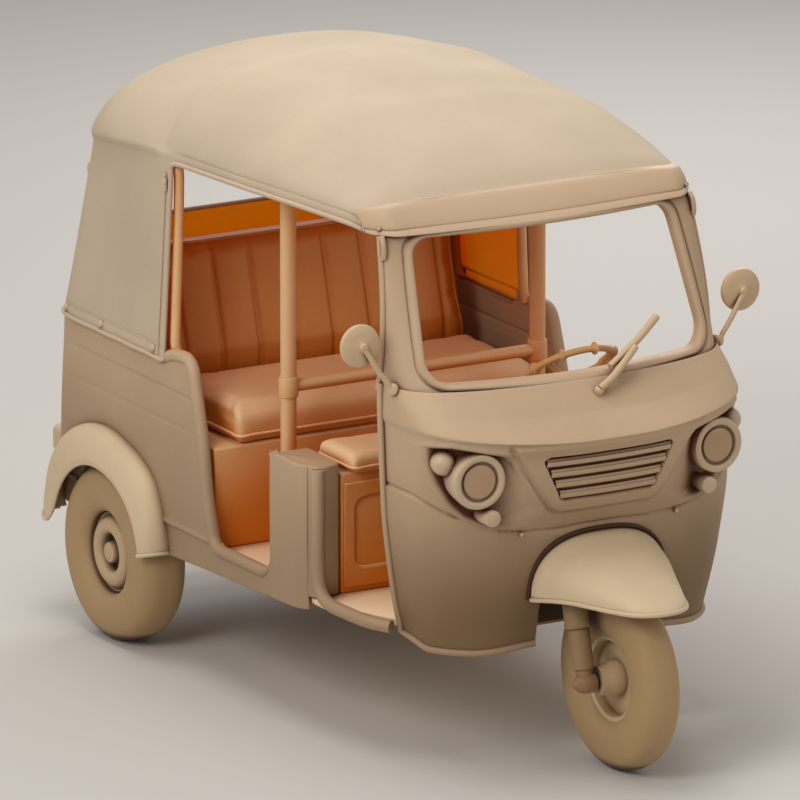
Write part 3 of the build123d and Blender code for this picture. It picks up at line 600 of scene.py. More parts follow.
# the rolled edge down both door edges, along the bottom and up the arch
half_edge = [(*places[-1], z) for z, places in nose_levels] + [brow[-1], cowl_middle[-1], cowl_top[-1]]
edge_pieces = []
for side in (-1, 1):
    down = smooth_path([spot(side * x, s, z) for x, s, z in reversed(half_edge)], 8)
    for place in down:
        place.z += bottom_lift(place.x, place.z)
    bottom = smooth_path([spot(side * x, s, nose_foot) for x, s in reversed(nose_levels[0][1])], 6)
    bottom = [p for p in bottom if abs(p.x) > arch_half_width] + [spot(side * arch_half_width, 0.1515, nose_foot)]
    for place in bottom:
        place.z += bottom_lift(place.x, place.z)
    edge_pieces.append(tube("nose_edge", down + bottom[1:], 0.010))
nose_edge = join("front_panel_edge", edge_pieces)
nose_edge.data.materials.append(body_paint)
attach(nose_edge, "body")


# ==== Grille =======================================================================
# Four pressed slats in the nose's sunken opening, each with a lip along its top,
# held at both ends inside the surround.
slat_pitch = 0.0315
slat_height = 0.021
slats = []
for number in range(4):
    middle = 0.868 - number * slat_pitch
    half = 0.150 + (middle - 0.762) * 0.462 - 0.004
    rows = []
    for drop, forward in ((0.0, 0.012), (0.0, 0.004), (-0.007, 0.0), (-0.0075, -0.0035), (-slat_height, -0.001),
                          (-slat_height - 0.002, 0.004), (-slat_height - 0.002, 0.012)):
        height = middle + slat_height / 2 + drop
        row = []
        for k in range(25):
            x = half * (k / 12 - 1)
            station = 0.056 + 0.30 * x * x + (0.83 - height) * 0.12
            row.append(spot(x, station + forward, height))
        rows.append(row)
    slat = shaped_grid("slat", rows)
    thicken(slat, 0.002, facing=(0, -1, 0))
    slats.append(slat)
grille = join("grille_slats", slats)
round_edges(grille, 0.0008, 2, 50)
grille.data.materials.append(body_paint)
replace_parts(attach(grille, "body"), "grille")


# ==== Headlamps and small lamps ====================================================
# Moulded barrels with a rolled ring round a flat lens, one egg-shaped indicator
# beside each, and a small round lamp below.
lamp_finish = coat("lamp_plastic", linear(204, 180, 148), painted_shade_brown, 0.42, patch=0.2, wear_and_highlight=0.25, bump=0.03,
                   specular=0.5)
lens_finish = coat("lens_plastic", linear(186, 152, 118), painted_shade_brown, 0.28, patch=0.15, wear_and_highlight=0.0, bump=0.02,
                   specular=0.6)


def turned(name, profile, centre, axis, steps=48):
    """A piece turned about an axis: profile gives distance along the axis and radius."""
    axis = Vector(axis).normalized()
    side = axis.orthogonal().normalized()
    deselect()
    bpy.ops.mesh.primitive_circle_add(vertices=max(3, len(profile)), radius=0.01)
    piece = bpy.context.object
    piece.name = name
    outline = bmesh.new()
    last = None
    for along, radius in profile:
        point = outline.verts.new(Vector(centre) + axis * along + side * radius)
        if last is not None:
            outline.edges.new((last, point))
        last = point
    outline.to_mesh(piece.data)
    outline.free()
    edit_all(piece)
    bpy.ops.mesh.spin(steps=steps, angle=math.tau, center=centre, axis=axis)
    bpy.ops.mesh.select_all(action="SELECT")
    bpy.ops.mesh.remove_doubles(threshold=0.00005)
    bpy.ops.mesh.normals_make_consistent(inside=False)
    leave_edit()
    piece.data.transform(piece.matrix_world)
    piece.matrix_world = Matrix.Identity(4)
    smooth_shade(38)
    return piece


both_hands = ((-1, "right"), (1, "left"))
for side, word in both_hands:
    aim = Vector((side * 0.06, -1.0, 0.0)).normalized()
    lamp_front = spot(side * 0.377, 0.107, 0.830)
    barrel = turned("headlamp_barrel", [
        (-0.125, 0.0), (-0.125, 0.058), (-0.075, 0.071), (-0.022, 0.0775), (-0.010, 0.078), (-0.003, 0.0755),
        (0.0, 0.0705), (-0.0005, 0.063), (-0.004, 0.0575), (-0.010, 0.0555), (-0.013, 0.053), (-0.013, 0.0)],
        lamp_front, aim, 64)
    barrel.data.materials.append(lamp_finish)
    lens = turned("headlamp_lens", [
        (-0.014, 0.0), (-0.014, 0.0485), (-0.008, 0.0485), (-0.0055, 0.0465), (-0.003, 0.030), (-0.0022, 0.0)],
        lamp_front, aim, 64)
    lens.data.materials.append(lens_finish)
    lamp = join("headlamp_" + word + "_unit", [barrel, lens])
    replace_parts(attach(lamp, "body"), "headlamp_" + word)

small = []
for side in (-1, 1):
    tip = spot(side * 0.462, 0.150, 0.880)
    aim = Vector((side * 0.35, -1.0, 0.10)).normalized()
    small.append(turned("indicator", [
        (-0.085, 0.0), (-0.085, 0.030), (-0.050, 0.0335), (-0.030, 0.0335), (-0.016, 0.0305), (-0.006, 0.022),
        (-0.001, 0.010), (0.0, 0.0)], tip, aim, 40))
    low_front = spot(side * 0.342, 0.096, 0.725)
    small.append(turned("low_lamp", [
        (-0.070, 0.0), (-0.070, 0.0225), (-0.006, 0.0235), (-0.002, 0.0225), (0.0, 0.019), (0.001, 0.0)],
        low_front, (0, -1, 0.02), 36))
    screw_at = spot(side * 0.245, 0.112, 0.6635)
    small.append(turned("panel_screw", [(-0.01, 0.0), (-0.01, 0.005), (0.001, 0.005), (0.003, 0.0025), (0.003, 0.0)],
                        screw_at, (0, -1, 0), 16))
small_lamps = join("small_lamps_set", small)
small_lamps.data.materials.append(lamp_finish)
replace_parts(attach(small_lamps, "body"), "small_lamps")


# ==== Front mudguard ===============================================================
# A deep cap pressed from one sheet, flanged to the nose round its arch over a dark tube
# that is a painted shadow of the gap, with a turned lip round its open edge.
guard_middle = 0.118
guard_top = 0.648
# direction round the cap in degrees, reach from the middle, lip height
guard_plan = [(0, 0.212, 0.472), (14, 0.203, 0.480), (28, 0.205, 0.487), (42, 0.216, 0.490),
              (55, 0.242, 0.490), (66, 0.283, 0.490), (78, 0.345, 0.492), (90, 0.366, 0.494)]
round_guard = [Vector(p) for p in guard_plan]
round_guard += [Vector((180 - a, reach, lip)) for a, reach, lip in reversed(guard_plan[:-1])]
around = smooth_path(round_guard, 8)
guard_rows = []
for step in range(27):
    out = math.sin(math.radians(90 * step / 26))
    row = []
    for angle, reach, lip in around:
        turn = math.radians(angle)
        boxy = 2.5 + 0.5 * math.sin(turn)
        down = max(0.0, 1 - out ** boxy) ** (1 / boxy)
        x, ahead = math.cos(turn) * reach * out, math.sin(turn) * reach * out
        slope = (guard_top - 0.125 * (ahead / 0.366)) - lip
        row.append(spot(x, guard_middle - ahead, lip + slope * down))
    guard_rows.append(row)
guard = shaped_grid("front_mudguard_cap", guard_rows)
edit_all(guard)
bpy.ops.mesh.remove_doubles(threshold=0.0002)
leave_edit()
face_towards(guard, (0, 0, 1))
lip_bead = tube("lip_bead", [p + Vector((0, 0, 0.002)) for p in guard_rows[-1]], 0.0065)
thicken(guard, 0.006)
smooth_shade(50)
guard = join("front_mudguard_cap", [guard, lip_bead])
# a lighter copy of the body paint with less painted shade low down: painted light on the mudguard and fenders
guard_lit_paint = coat("guard_lit_paint", linear(222, 200, 166), painted_shade_brown, 0.56, patch=0.45, wear_and_highlight=0.5, film=0.1)
guard.data.materials.append(guard_lit_paint)
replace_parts(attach(guard, "body"), "front_mudguard")
# a dark tube along the arch flange: painted shadow standing in for the shaded gap between mudguard and nose
gap_shadow_path = []
for k in range(-40, 41):
    turn = math.pi / 2 * k / 40
    x, z = 0.216 * math.sin(turn), 0.474 + 0.179 * max(0.0, 1 - abs(math.sin(turn)) ** 2.5) ** 0.4
    gap_shadow_path.append(spot(x, 0.1175 - 0.075 * (z - 0.5) + 0.008 * (x / 0.24) ** 2, z))
guard_gap_shadow = tube("front_mudguard_gap_shadow", gap_shadow_path, 0.0055)
gap_shadow_finish = coat("painted_gap_shadow", linear(72, 40, 20), linear(30, 12, 4), 0.8, wear_and_highlight=0.0)
guard_gap_shadow.data.materials.append(gap_shadow_finish)
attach(guard_gap_shadow, "body")


# ==== Wheels =======================================================================
# Fully rounded moulded tyres on pressed steel rims. A rim is a light bulged ring
# with a sunken middle, five nuts and a hub nose; a groove runs round the bead, darkened by painted shade.
# the deep colours of tyres and rims are painted shade in their grooves; the tyres also take painted shade low down
tyre_finish = coat("tyre_rubber", linear(200, 168, 124), linear(60, 26, 10), 0.62, patch=0.6, wear_and_highlight=0.1, film=0.35,
                   grain=320.0, bump=0.10, reach=0.05)
wheel_finish = coat("wheel_paint", linear(196, 168, 130), linear(52, 20, 6), 0.52, patch=0.3, wear_and_highlight=0.4, reach=0.035)
tyre_radius = 0.255
rear_axle = 1.77
# share of the half width, and radius, from the outer bead to the crown
tyre_outline = [(0.55, 0.1175), (0.66, 0.1205), (0.83, 0.132), (0.955, 0.154), (1.0, 0.182), (0.965, 0.211),
                (0.83, 0.234), (0.58, 0.248), (0.28, 0.254), (0.0, 0.255)]
rear_rim = [(-0.048, 0.0), (-0.048, 0.045), (-0.010, 0.047), (-0.005, 0.097), (-0.044, 0.103), (-0.046, 0.119),
            (0.030, 0.119), (0.034, 0.113), (0.030, 0.108), (0.036, 0.1035), (0.0445, 0.098), (0.0515, 0.090),
            (0.0545, 0.080), (0.0545, 0.070), (0.0515, 0.062), (0.045, 0.0565), (0.036, 0.054), (0.014, 0.052),
            (0.012, 0.048), (0.012, 0.032), (0.046, 0.030), (0.0515, 0.0275), (0.0545, 0.021), (0.0555, 0.0)]
front_rim = [(-0.075, 0.018), (-0.075, 0.040), (-0.046, 0.043), (-0.040, 0.048), (-0.006, 0.050), (-0.005, 0.103),
             (-0.030, 0.107), (-0.034, 0.119), (0.034, 0.119), (0.030, 0.107), (0.005, 0.103), (0.006, 0.050),
             (0.040, 0.048), (0.046, 0.043), (0.075, 0.040), (0.075, 0.018), (-0.075, 0.018)]

for word, body, side, x, station, half_width in (("front", "front_wheel", 1, 0.0, 0.0, 0.0575),
                                                 ("rear", "rear_wheel_left", 1, 0.565, rear_axle, 0.0775),
                                                 ("rear", "rear_wheel_right", -1, -0.565, rear_axle, 0.0775)):
    centre, axle = spot(x, station, tyre_radius), (side, 0, 0)
    half = smooth_path([Vector((share * half_width, radius)) for share, radius in tyre_outline], 4)
    whole = half + [Vector((-p.x, p.y)) for p in reversed(half[:-1])] + [half[0]]
    tyre = turned(body + "_tyre", whole, centre, axle, 96)
    tyre.data.materials.append(tyre_finish)
    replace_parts(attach(tyre, body), body.replace("wheel", "tyre"))
    wheel_parts = [turned(body + "_rim", front_rim if word == "front" else rear_rim, centre, axle, 72)]
    if word == "rear":
        for number in range(5):
            turn = math.radians(72 * number + 20)
            seat = centre + Vector((0, math.cos(turn), math.sin(turn))) * 0.0415
            wheel_parts.append(turned("nut", [(0.008, 0.0), (0.008, 0.0075), (0.024, 0.0075), (0.026, 0.0060),
                                              (0.026, 0.0035), (0.031, 0.0035), (0.032, 0.0)], seat, axle, 12))
    rim = join(body + "_rim", wheel_parts)
    rim.data.materials.append(wheel_finish)
    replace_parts(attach(rim, body), body.replace("wheel", "rim"))


# ==== Front fork and steering head =================================================
# Two telescopic legs of turned tube with a collar each, a lug round the axle, and
# a crown plate carrying the stem, which turns in the fixed head tube.
def flat_outline(name, places):
    """A flat piece with one face, from places round its edge."""
    deselect()
    bpy.ops.mesh.primitive_circle_add(vertices=len(places), radius=1.0, fill_type="NGON")
    return shaped(name, places)


rake = math.radians(15)
fork_up = Vector((0, math.sin(rake), math.cos(rake)))
fork_parts = []
for side in (-1, 1):
    foot = spot(side * 0.110, 0, tyre_radius)
    fork_parts.append(turned("leg", [
        (-0.020, 0.0), (-0.020, 0.018), (0.020, 0.0225), (0.034, 0.0235), (0.038, 0.0292), (0.048, 0.0300),
        (0.143, 0.0300), (0.146, 0.0285), (0.149, 0.0285), (0.150, 0.0350), (0.154, 0.0375), (0.163, 0.0375),
        (0.167, 0.0360), (0.292, 0.0360), (0.294, 0.0)], foot, fork_up, 40))
    fork_parts.append(turned("lug", [
        (-0.028, 0.0), (-0.028, 0.0250), (-0.020, 0.0285), (0.000, 0.0300), (0.012, 0.0285), (0.022, 0.0230),
        (0.032, 0.0150), (0.039, 0.0080), (0.042, 0.0)], foot, (side, 0, 0), 32))
fork_parts.append(turned("axle", [(-0.10, 0.0), (-0.10, 0.0155), (0.10, 0.0155), (0.10, 0.0)],
                         spot(0, 0, tyre_radius), (1, 0, 0), 24))
stem_foot = spot(0, 0.052 * math.cos(rake), tyre_radius - 0.052 * math.sin(rake))
fork_parts.append(turned("stem", [(0.272, 0.0), (0.272, 0.016), (0.534, 0.016), (0.537, 0.013), (0.537, 0.0)],
                         stem_foot, fork_up, 28))
plate_outline = [(-0.150, -0.020), (-0.128, -0.038), (0.128, -0.038), (0.150, -0.020), (0.134, 0.014), (0.034, 0.078),
                 (-0.034, 0.078), (-0.134, 0.014)]
plate_back = Vector((0, math.cos(rake), -math.sin(rake)))
crown_plate = flat_outline("crown_plate", [spot(x, 0, tyre_radius) + plate_back * back + fork_up * 0.297
                                           for x, back in plate_outline])
thicken(crown_plate, 0.026, facing=fork_up)
round_edges(crown_plate, 0.004)
fork = join("front_fork_assembly", [crown_plate] + fork_parts)
fork.data.materials.append(frame_finish)
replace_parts(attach(fork, "front_fork"), "front_fork")

head = turned("steering_head_tube", [
    (0.327, 0.0170), (0.327, 0.0275), (0.343, 0.0275), (0.345, 0.0240), (0.479, 0.0240), (0.481, 0.0275),
    (0.497, 0.0275), (0.497, 0.0170), (0.327, 0.0170)], stem_foot, fork_up, 40)
head.data.materials.append(frame_finish)
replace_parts(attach(head, "body"), "steering_head")


# ==== Windscreen frame =============================================================
# One pressed frame round an open windscreen, bowed forward across its width: a flat
# pillar, a groove, and a rolled lip round the opening.
def rounded(corners, radii, steps=6):
    """A closed outline with each corner turned into an arc."""
    outline = []
    for number, (corner, radius) in enumerate(zip(corners, radii, strict=True)):
        corner = Vector(corner)
        if radius == 0:
            outline.append(corner)
            continue
        back = (Vector(corners[number - 1]) - corner).normalized()
        ahead = (Vector(corners[(number + 1) % len(corners)]) - corner).normalized()
        half = back.angle(ahead) / 2
        middle = corner + (back + ahead).normalized() * (radius / math.sin(half))
        first = (corner + back * (radius / math.tan(half)) - middle).normalized()
        last = (corner + ahead * (radius / math.tan(half)) - middle).normalized()
        outline += [middle + first.slerp(last, k / steps) * radius for k in range(steps + 1)]
    return outline


def evenly(outline, count, closed=True):
    """The same outline as a number of points at even distances along it."""
    line = [Vector(p) for p in outline] + ([Vector(outline[0])] if closed else [])
    runs = [(b - a).length for a, b in zip(line, line[1:])]
    whole, spots, number, gone = sum(runs), [], 0, 0.0
    for k in range(count):
        target = whole * k / (count if closed else count - 1)
        while number < len(runs) - 1 and gone + runs[number] < target:
            gone += runs[number]
            number += 1
        spots.append(line[number].lerp(line[number + 1], min(1.0, (target - gone) / max(runs[number], 1e-9))))
    return spots


def screen_station(x, z):
    """Where the windscreen's bowed face lies at a place seen from the front."""
    share = (z - 1.052) / 0.400
    middle, side, half = 0.192 + 0.206 * share, 0.300 + 0.155 * share, 0.500 - 0.018 * share
    wrapped = 20.0 * max(0.0, abs(x) - 0.455) ** 2 * max(0.0, 1 - share)
    return middle + (side - middle) * (x / half) ** 2 + wrapped


def loop_grid(name, rows):
    """Rows of closed loops joined into one skin that closes on itself round each loop."""
    piece = shaped_grid(name, [list(row) + [row[0]] for row in rows])
    edit_all(piece)
    bpy.ops.mesh.remove_doubles(threshold=0.00002)
    bpy.ops.mesh.normals_make_consistent(inside=False)
    leave_edit()
    return piece


# both outlines start at the top middle and run the same way round
screen_outer = rounded([(0.0, 1.456), (0.483, 1.456), (0.521, 1.032), (-0.521, 1.032), (-0.483, 1.456)],
                       [0, 0.028, 0.02, 0.02, 0.028], 8)
screen_inner = rounded([(0.0, 1.437), (0.404, 1.437), (0.438, 1.066), (-0.438, 1.066), (-0.404, 1.437)],
                       [0, 0.052, 0.062, 0.062, 0.052], 14)
inner_loop = evenly(screen_inner, 232)
outer_loop = []
screen_middle = Vector((0, 1.25))
for point in inner_loop:
    # straight out from the opening's middle, until the outer outline is reached
    direction = Vector((point.x, (point.y - screen_middle.y) * 1.06))
    reach = 9.0
    for number, end in enumerate(screen_outer):
        start = screen_outer[number - 1]
        run = end - start
        spread = direction.x * run.y - direction.y * run.x
        if abs(spread) < 1e-9:
            continue
        away = start - screen_middle
        share = (away.x * run.y - away.y * run.x) / spread
        along = (away.x * direction.y - away.y * direction.x) / spread
        if share > 0 and -1e-6 <= along <= 1 + 1e-6:
            reach = min(reach, share)
    outer_loop.append(screen_middle + direction * reach)
# distance out from the opening, or share of the way to the outer edge, and distance forward
screen_rows = [(0.000, 0, -0.034), (0.000, 0, -0.014), (0.001, 0, -0.006), (0.004, 0, 0.0005), (0.009, 0, 0.0045),
               (0.015, 0, 0.0055), (0.021, 0, 0.0035), (0.025, 0, -0.001), (0.0275, 0, -0.006), (0.030, 0, -0.006),
               (0.033, 0, -0.002), (0.038, 0, 0.0), (0.040, 0.50, 0.0005), (0.0, 0.94, 0.0), (0.0, 0.985, -0.003),
               (0.0, 1.0, -0.008), (0.0, 1.0, -0.034), (0.0, 0.5, -0.034), (0.0, 0.0, -0.034)]
rows = []
for out, share, forward in screen_rows:
    row = []
    for inner, outer in zip(inner_loop, outer_loop):
        gap = (outer - inner).length
        place = inner.lerp(outer, share)
        if share < 0.9:
            place = inner + (outer - inner).normalized() * min(gap * 0.97, out + (gap - out) * share)
        row.append(spot(place.x, screen_station(place.x, place.y) - forward, place.y))
    rows.append(row)
screen_frame = loop_grid("windscreen_frame_pressing", rows)
smooth_shade(50)
hooks = []
for side in (-1, 1):
    # the catch under each end of the visor, and the doorway's welt up the pillar
    catch = smooth_path([spot(side * 0.486, 0.452, 1.452), spot(side * 0.489, 0.440, 1.436),
                         spot(side * 0.490, 0.434, 1.412), spot(side * 0.490, 0.436, 1.392)], 5)
    hooks.append(tube("catch", catch, 0.0075))
    welt = [spot(side * (0.523 - 0.0018 * k), screen_station(0.521 - 0.0018 * k, 1.040 + 0.0195 * k) + 0.012,
                 1.040 + 0.0195 * k) for k in range(22)]
    hooks.append(tube("welt", welt, 0.0085))
screen_frame = join("windscreen_frame_pressing", [screen_frame] + hooks)
screen_frame.data.materials.append(body_paint)
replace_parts(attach(screen_frame, "body"), "windscreen_frame")


# ==== Visor ========================================================================
# A bowed band of pressed steel over the windscreen, with a rolled bead along its
# lip, a fine groove above that, and a rivet at each rounded end.
visor_half = 0.512
visor_rows = []
# share of the way up from the lip, distance forward
visor_section = [(0.00, -0.030), (0.00, -0.006), (0.012, 0.000), (0.05, 0.0050), (0.11, 0.0062), (0.17, 0.0040),
                 (0.205, 0.0), (0.225, -0.002), (0.25, 0.0005), (0.30, 0.003), (0.45, 0.006), (0.65, 0.007),
                 (0.85, 0.004), (0.95, 0.0), (0.985, -0.004), (1.0, -0.012), (1.0, -0.034)]
for share, forward in visor_section:
    row = []
    for k in range(97):
        x = visor_half * math.sin(math.pi / 2 * (k / 48 - 1))
        across = abs(x) / visor_half
        end = max(0.0, 1 - ((across - 0.96) / 0.04) ** 2) ** 0.5 if across > 0.96 else 1.0
        low = 1.449 + 0.002 * across ** 2 + 0.008 * (1 - end)
        high = 1.468 + 0.054 * max(0.0, 1 - (across * 0.96) ** 5) ** (1 / 5)
        high = low + (high - low) * (0.78 + 0.22 * end)
        z = low + (high - low) * share
        lean = 0.108 * share
        wrap = 0.066 * max(0.0, (across - 0.86) / 0.14) ** 1.7
        station = 0.394 + 0.040 * across ** 2 + wrap + lean * (1 - 0.62 * max(0.0, across - 0.5) ** 2 * 4)
        row.append(spot(x, station - forward, z))
    visor_rows.append(row)
visor = shaped_grid("roof_visor_band", visor_rows)
thicken(visor, 0.004, facing=(0, -1, 0))
smooth_shade(50)
rivets = [turned("rivet", [(-0.008, 0.0), (-0.008, 0.0055), (0.0, 0.0055), (0.0025, 0.003), (0.003, 0.0)],
                 spot(side * 0.487, 0.466, 1.470), (side * 0.5, -1, 0.3), 16) for side in (-1, 1)]
visor = join("roof_visor_band", [visor] + rivets)
visor.data.materials.append(body_paint)
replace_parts(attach(visor, "body"), "roof_visor")


# ==== Mirrors and wiper ============================================================
# Round moulded mirror heads on bent steel arms from brackets on the pillars, and a
# wiper pivoted on the cowl with its blade lying across the opening.
trim_finish = coat("trim_plastic", linear(208, 180, 144), painted_shade_brown, 0.45, patch=0.2, wear_and_highlight=0.2, bump=0.03,
                   reach=0.03)
mirror_parts = []
for side in (-1, 1):
    head_at = spot(side * 0.602, 0.367, 1.181)
    mirror_parts.append(turned("mirror_head", [
        (-0.012, 0.0), (-0.012, 0.054), (-0.009, 0.059), (-0.002, 0.0605), (0.004, 0.0585), (0.009, 0.050),
        (0.012, 0.036), (0.0135, 0.018), (0.017, 0.013), (0.022, 0.012), (0.026, 0.009), (0.027, 0.0)],
        head_at, (0, -1, 0), 48))
    arm = smooth_path([head_at + Vector((0, -0.018, -0.006)), head_at + Vector((-side * 0.012, -0.020, -0.020)),
                       spot(side * 0.560, 0.345, 1.112), spot(side * 0.530, 0.342, 1.072),
                       spot(side * 0.519, 0.342, 1.054)], 6)
    mirror_parts.append(tube("mirror_arm", arm, 0.0075))
    mirror_parts.append(turned("arm_foot", [
        (-0.018, 0.0), (-0.018, 0.013), (-0.010, 0.0165), (0.006, 0.0165), (0.012, 0.013), (0.014, 0.0)],
        spot(side * 0.515, 0.342, 1.054), (side * 0.8, -1, 0.10), 28))
mirrors = join("mirrors_pair", mirror_parts)
mirrors.data.materials.append(trim_finish)
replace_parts(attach(mirrors, "body"), "mirrors")

wiper_parts = [
    turned("pivot", [(-0.040, 0.0), (-0.040, 0.014), (0.000, 0.014), (0.007, 0.0115), (0.010, 0.006), (0.011, 0.0)],
           spot(0.018, 0.146, 1.026), (0, -0.55, 0.83), 28),
    tube("arm", smooth_path([spot(0.018, 0.142, 1.032), spot(0.060, 0.150, 1.054), spot(0.105, 0.168, 1.082),
                             spot(0.158, 0.190, 1.119)], 6), 0.0100),
    tube("blade", smooth_path([spot(0.075, 0.185, 1.076), spot(0.130, 0.196, 1.106), spot(0.190, 0.214, 1.140),
                               spot(0.253, 0.236, 1.181)], 6), 0.0105),
]
wiper = join("wiper_set", wiper_parts)
wiper.data.materials.append(trim_finish)
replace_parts(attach(wiper, "body"), "wiper")


# ==== Body sides ===================================================================
# Welded steel side panels: a rounded rear corner, two pressed lines, a step above
# the sill, a wheel arch, and rolled beads round both doorways.
def cut_lines(piece, places, direction):
    """Divides a piece's faces along planes square to a direction."""
    edit_all(piece)
    for place in places:
        bpy.ops.mesh.select_all(action="SELECT")
        bpy.ops.mesh.bisect(plane_co=Vector(direction) * place, plane_no=direction)
    leave_edit()


arch_radius = 0.273
arch_cut = [(rear_axle + arch_radius * math.cos(a), tyre_radius + arch_radius * math.sin(a))
            for a in [math.radians(14 + 152 * k / 40) for k in range(41)]]
door_edge = rounded([(0.889, 0.757), (0.889, 0.410), (1.203, 0.406), (1.240, 0.54), (1.266, 0.70), (1.302, 0.815),
                     (1.335, 0.918), (1.430, 0.911), (1.52, 0.880)],
                    [0.008, 0.058, 0.045, 0.3, 0.3, 0.2, 0.052, 0.10, 0.0], 8)
side_outline = [(2.125, 0.322), *arch_cut, (1.496, 0.312), (1.15, 0.328), (0.89, 0.338), (0.715, 0.346),
                (0.715, 0.757), *door_edge, (2.112, 0.888), (2.122, 0.74)]
station_cuts = [0.72, 0.727, 0.735, 0.745, 0.757, 0.77, 0.785, 0.80, 0.84, 0.88] + [0.93 + 0.05 * k for k in range(22)]
station_cuts += [2.03, 2.05, 2.065, 2.08, 2.092, 2.102, 2.110, 2.116, 2.121]
height_cuts = [0.34, 0.36, 0.38, 0.395, 0.403, 0.408, 0.412, 0.416, 0.420, 0.425, 0.432, 0.445, 0.48, 0.52, 0.56, 0.60,
               0.64, 0.67, 0.69, 0.698, 0.702, 0.706, 0.710, 0.718, 0.74, 0.77, 0.788, 0.794, 0.798, 0.802, 0.806,
               0.812, 0.83, 0.85, 0.865, 0.878]


def side_reach(station, height):
    """How far out the body's side lies: pressings, rounded corners and a slight bulge."""
    reach = 0.584 + 0.005 * math.sin(math.pi * max(0.0, min(1.0, (height - 0.30) / 0.62)))
    reach -= 0.020 * max(0.0, (0.775 - station) / 0.060) ** 2
    if station > 2.05:
        reach -= 0.044 - math.sqrt(max(0.0, 0.044 ** 2 - (0.044 * min(1.0, (station - 2.05) / 0.075)) ** 2))
    step_here = ease(station, 1.15, 1.24)
    reach += 0.007 * ridge(height, 0.414, 0.006) * step_here
    reach -= 0.004 * (1 - ease(height, 0.405, 0.412)) * step_here
    pressed = ease(station, 1.30, 1.37) * (1 - ease(station, 2.02, 2.06))
    reach -= 0.0035 * ridge(height, 0.800, 0.0035) * pressed
    reach -= 0.004 * (1 - ease(height, 0.7985, 0.8035)) * pressed * ease(height, 0.45, 0.70)
    reach -= 0.0022 * ridge(height, 0.704, 0.003) * pressed
    return reach


def rear_lean(station, height):
    """How far the rear corners spread backwards lower down."""
    return 0.024 * (1 - ease(height, 0.46, 0.89)) * ease(station, 2.02, 2.12)


for side, word in both_hands:
    skin = flat_outline("body_side_" + word + "_skin", [spot(side * 0.58, *p) for p in side_outline])
    cut_lines(skin, [s + front_axle for s in station_cuts], (0, 1, 0))
    cut_lines(skin, height_cuts, (0, 0, 1))
    for point in skin.data.vertices:
        point.co.x = side * side_reach(point.co.y - front_axle, point.co.z)
        point.co.y += rear_lean(point.co.y - front_axle, point.co.z)
    thicken(skin, 0.020, facing=(side, 0, 0))
    round_edges(skin, 0.005, 3, 62)
    welt = evenly(door_edge, 120, closed=False)
    swells = [0.35 + 0.65 * ease(p.x, 0.893, 0.945) for p in welt]
    door_bead = tube("door_bead", [spot(side * (side_reach(p.x, p.y) - 0.005), p.x + 0.010 * ease(p.x, 1.16, 1.22),
                                        p.y - 0.006) for p in welt], 0.0175, 7,
                     swell=lambda share, swells=swells: swells[min(119, int(share * 119 + 0.5))])
    front_bead = smooth_path([spot(side * x, s, z) for x, s, z in (
        (0.5500, 0.692, 0.748), (0.5500, 0.692, 0.60), (0.5500, 0.691, 0.475), (0.5515, 0.674, 0.408),
        (0.5515, 0.625, 0.383), (0.5440, 0.53, 0.378), (0.5250, 0.45, 0.373), (0.4900, 0.396, 0.368))], 9)
    whole_side = join("body_side_" + word + "_skin", [skin, door_bead, tube("front_door_bead", front_bead, 0.0185, 7)])
    whole_side.data.materials.append(body_paint)
    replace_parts(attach(whole_side, "body"), "body_side_" + word)


# ==== Side boxes ===================================================================
# Folded steel pillar boxes beside the driver's seat, welded to the side panels,
# with a rounded top and a rounded inner corner.
for side, word in both_hands:
    plan = rounded([(0.576, 0.884), (0.578, 0.745), (0.556, 0.690), (0.528, 0.684), (0.474, 0.702), (0.471, 0.884)],
                   [0.004, 0.02, 0.015, 0.02, 0.02, 0.012], 6)
    box = flat_outline("side_box_" + word + "_case", [spot(side * p.x, p.y, 0.7565) for p in plan])
    thicken(box, 0.374, facing=(0, 0, 1))
    round_edges(box, 0.006, 4)
    box.data.materials.append(body_paint)
    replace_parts(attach(box, "body"), "side_box_" + word)


# ==== Rear fenders =================================================================
# Pressed bands over the rear tyres, welted to the side panels: a rounded crown, a
# deep skirt with a turned lip, and a rounded foot at each end.
# degrees round the axle from behind, outer and inner radius
fender_plan = [(7, 0.356, 0.290), (12, 0.374, 0.276), (20, 0.386, 0.271), (33, 0.394, 0.269), (46, 0.390, 0.268),
               (65, 0.372, 0.265), (80, 0.356, 0.262), (100, 0.338, 0.259), (116, 0.338, 0.260), (130, 0.340, 0.262),
               (141, 0.326, 0.262), (156, 0.306, 0.259), (167, 0.292, 0.256)]
fender_track = smooth_path([Vector(p) for p in fender_plan], 7)
for side, word in both_hands:
    rows = []
    for angle, outer, inner in fender_track:
        turn = math.radians(angle)
        foot = 1 - ease(angle, 7, 20)
        # distance out, and share of the way in from the outer to the inner radius
        section = [(0.560, 0.04), (0.578, 0.0), (0.592, -0.02), (0.606, 0.0), (0.619, 0.06), (0.630, 0.15),
                   (0.6385, 0.27), (0.645, 0.40), (0.650, 0.53), (0.654, 0.66), (0.6575, 0.79), (0.660, 0.90),
                   (0.661, 0.97), (0.659, 1.02), (0.654, 1.03), (0.648, 1.01)]
        reaches = [(x + 0.004 * foot, outer - (outer - inner) * share) for x, share in section]
        rows.append([spot(side * x, rear_axle + math.cos(turn) * radius, tyre_radius + math.sin(turn) * radius)
                     for x, radius in reaches])
    fender = shaped_grid("rear_fender_" + word + "_band", rows)
    thicken(fender, 0.009, facing=(side, 0, 0.6))
    smooth_shade(50)
    ends = [tube("foot_bead", rows[k][1:-1], 0.0060) for k in (0, -1)]
    ends.append(tube("lip_bead", [row[-2] for row in rows], 0.0062))
    fender = join("rear_fender_" + word + "_band", [fender] + ends)
    fender.data.materials.append(guard_lit_paint)
    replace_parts(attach(fender, "body"), "rear_fender_" + word)


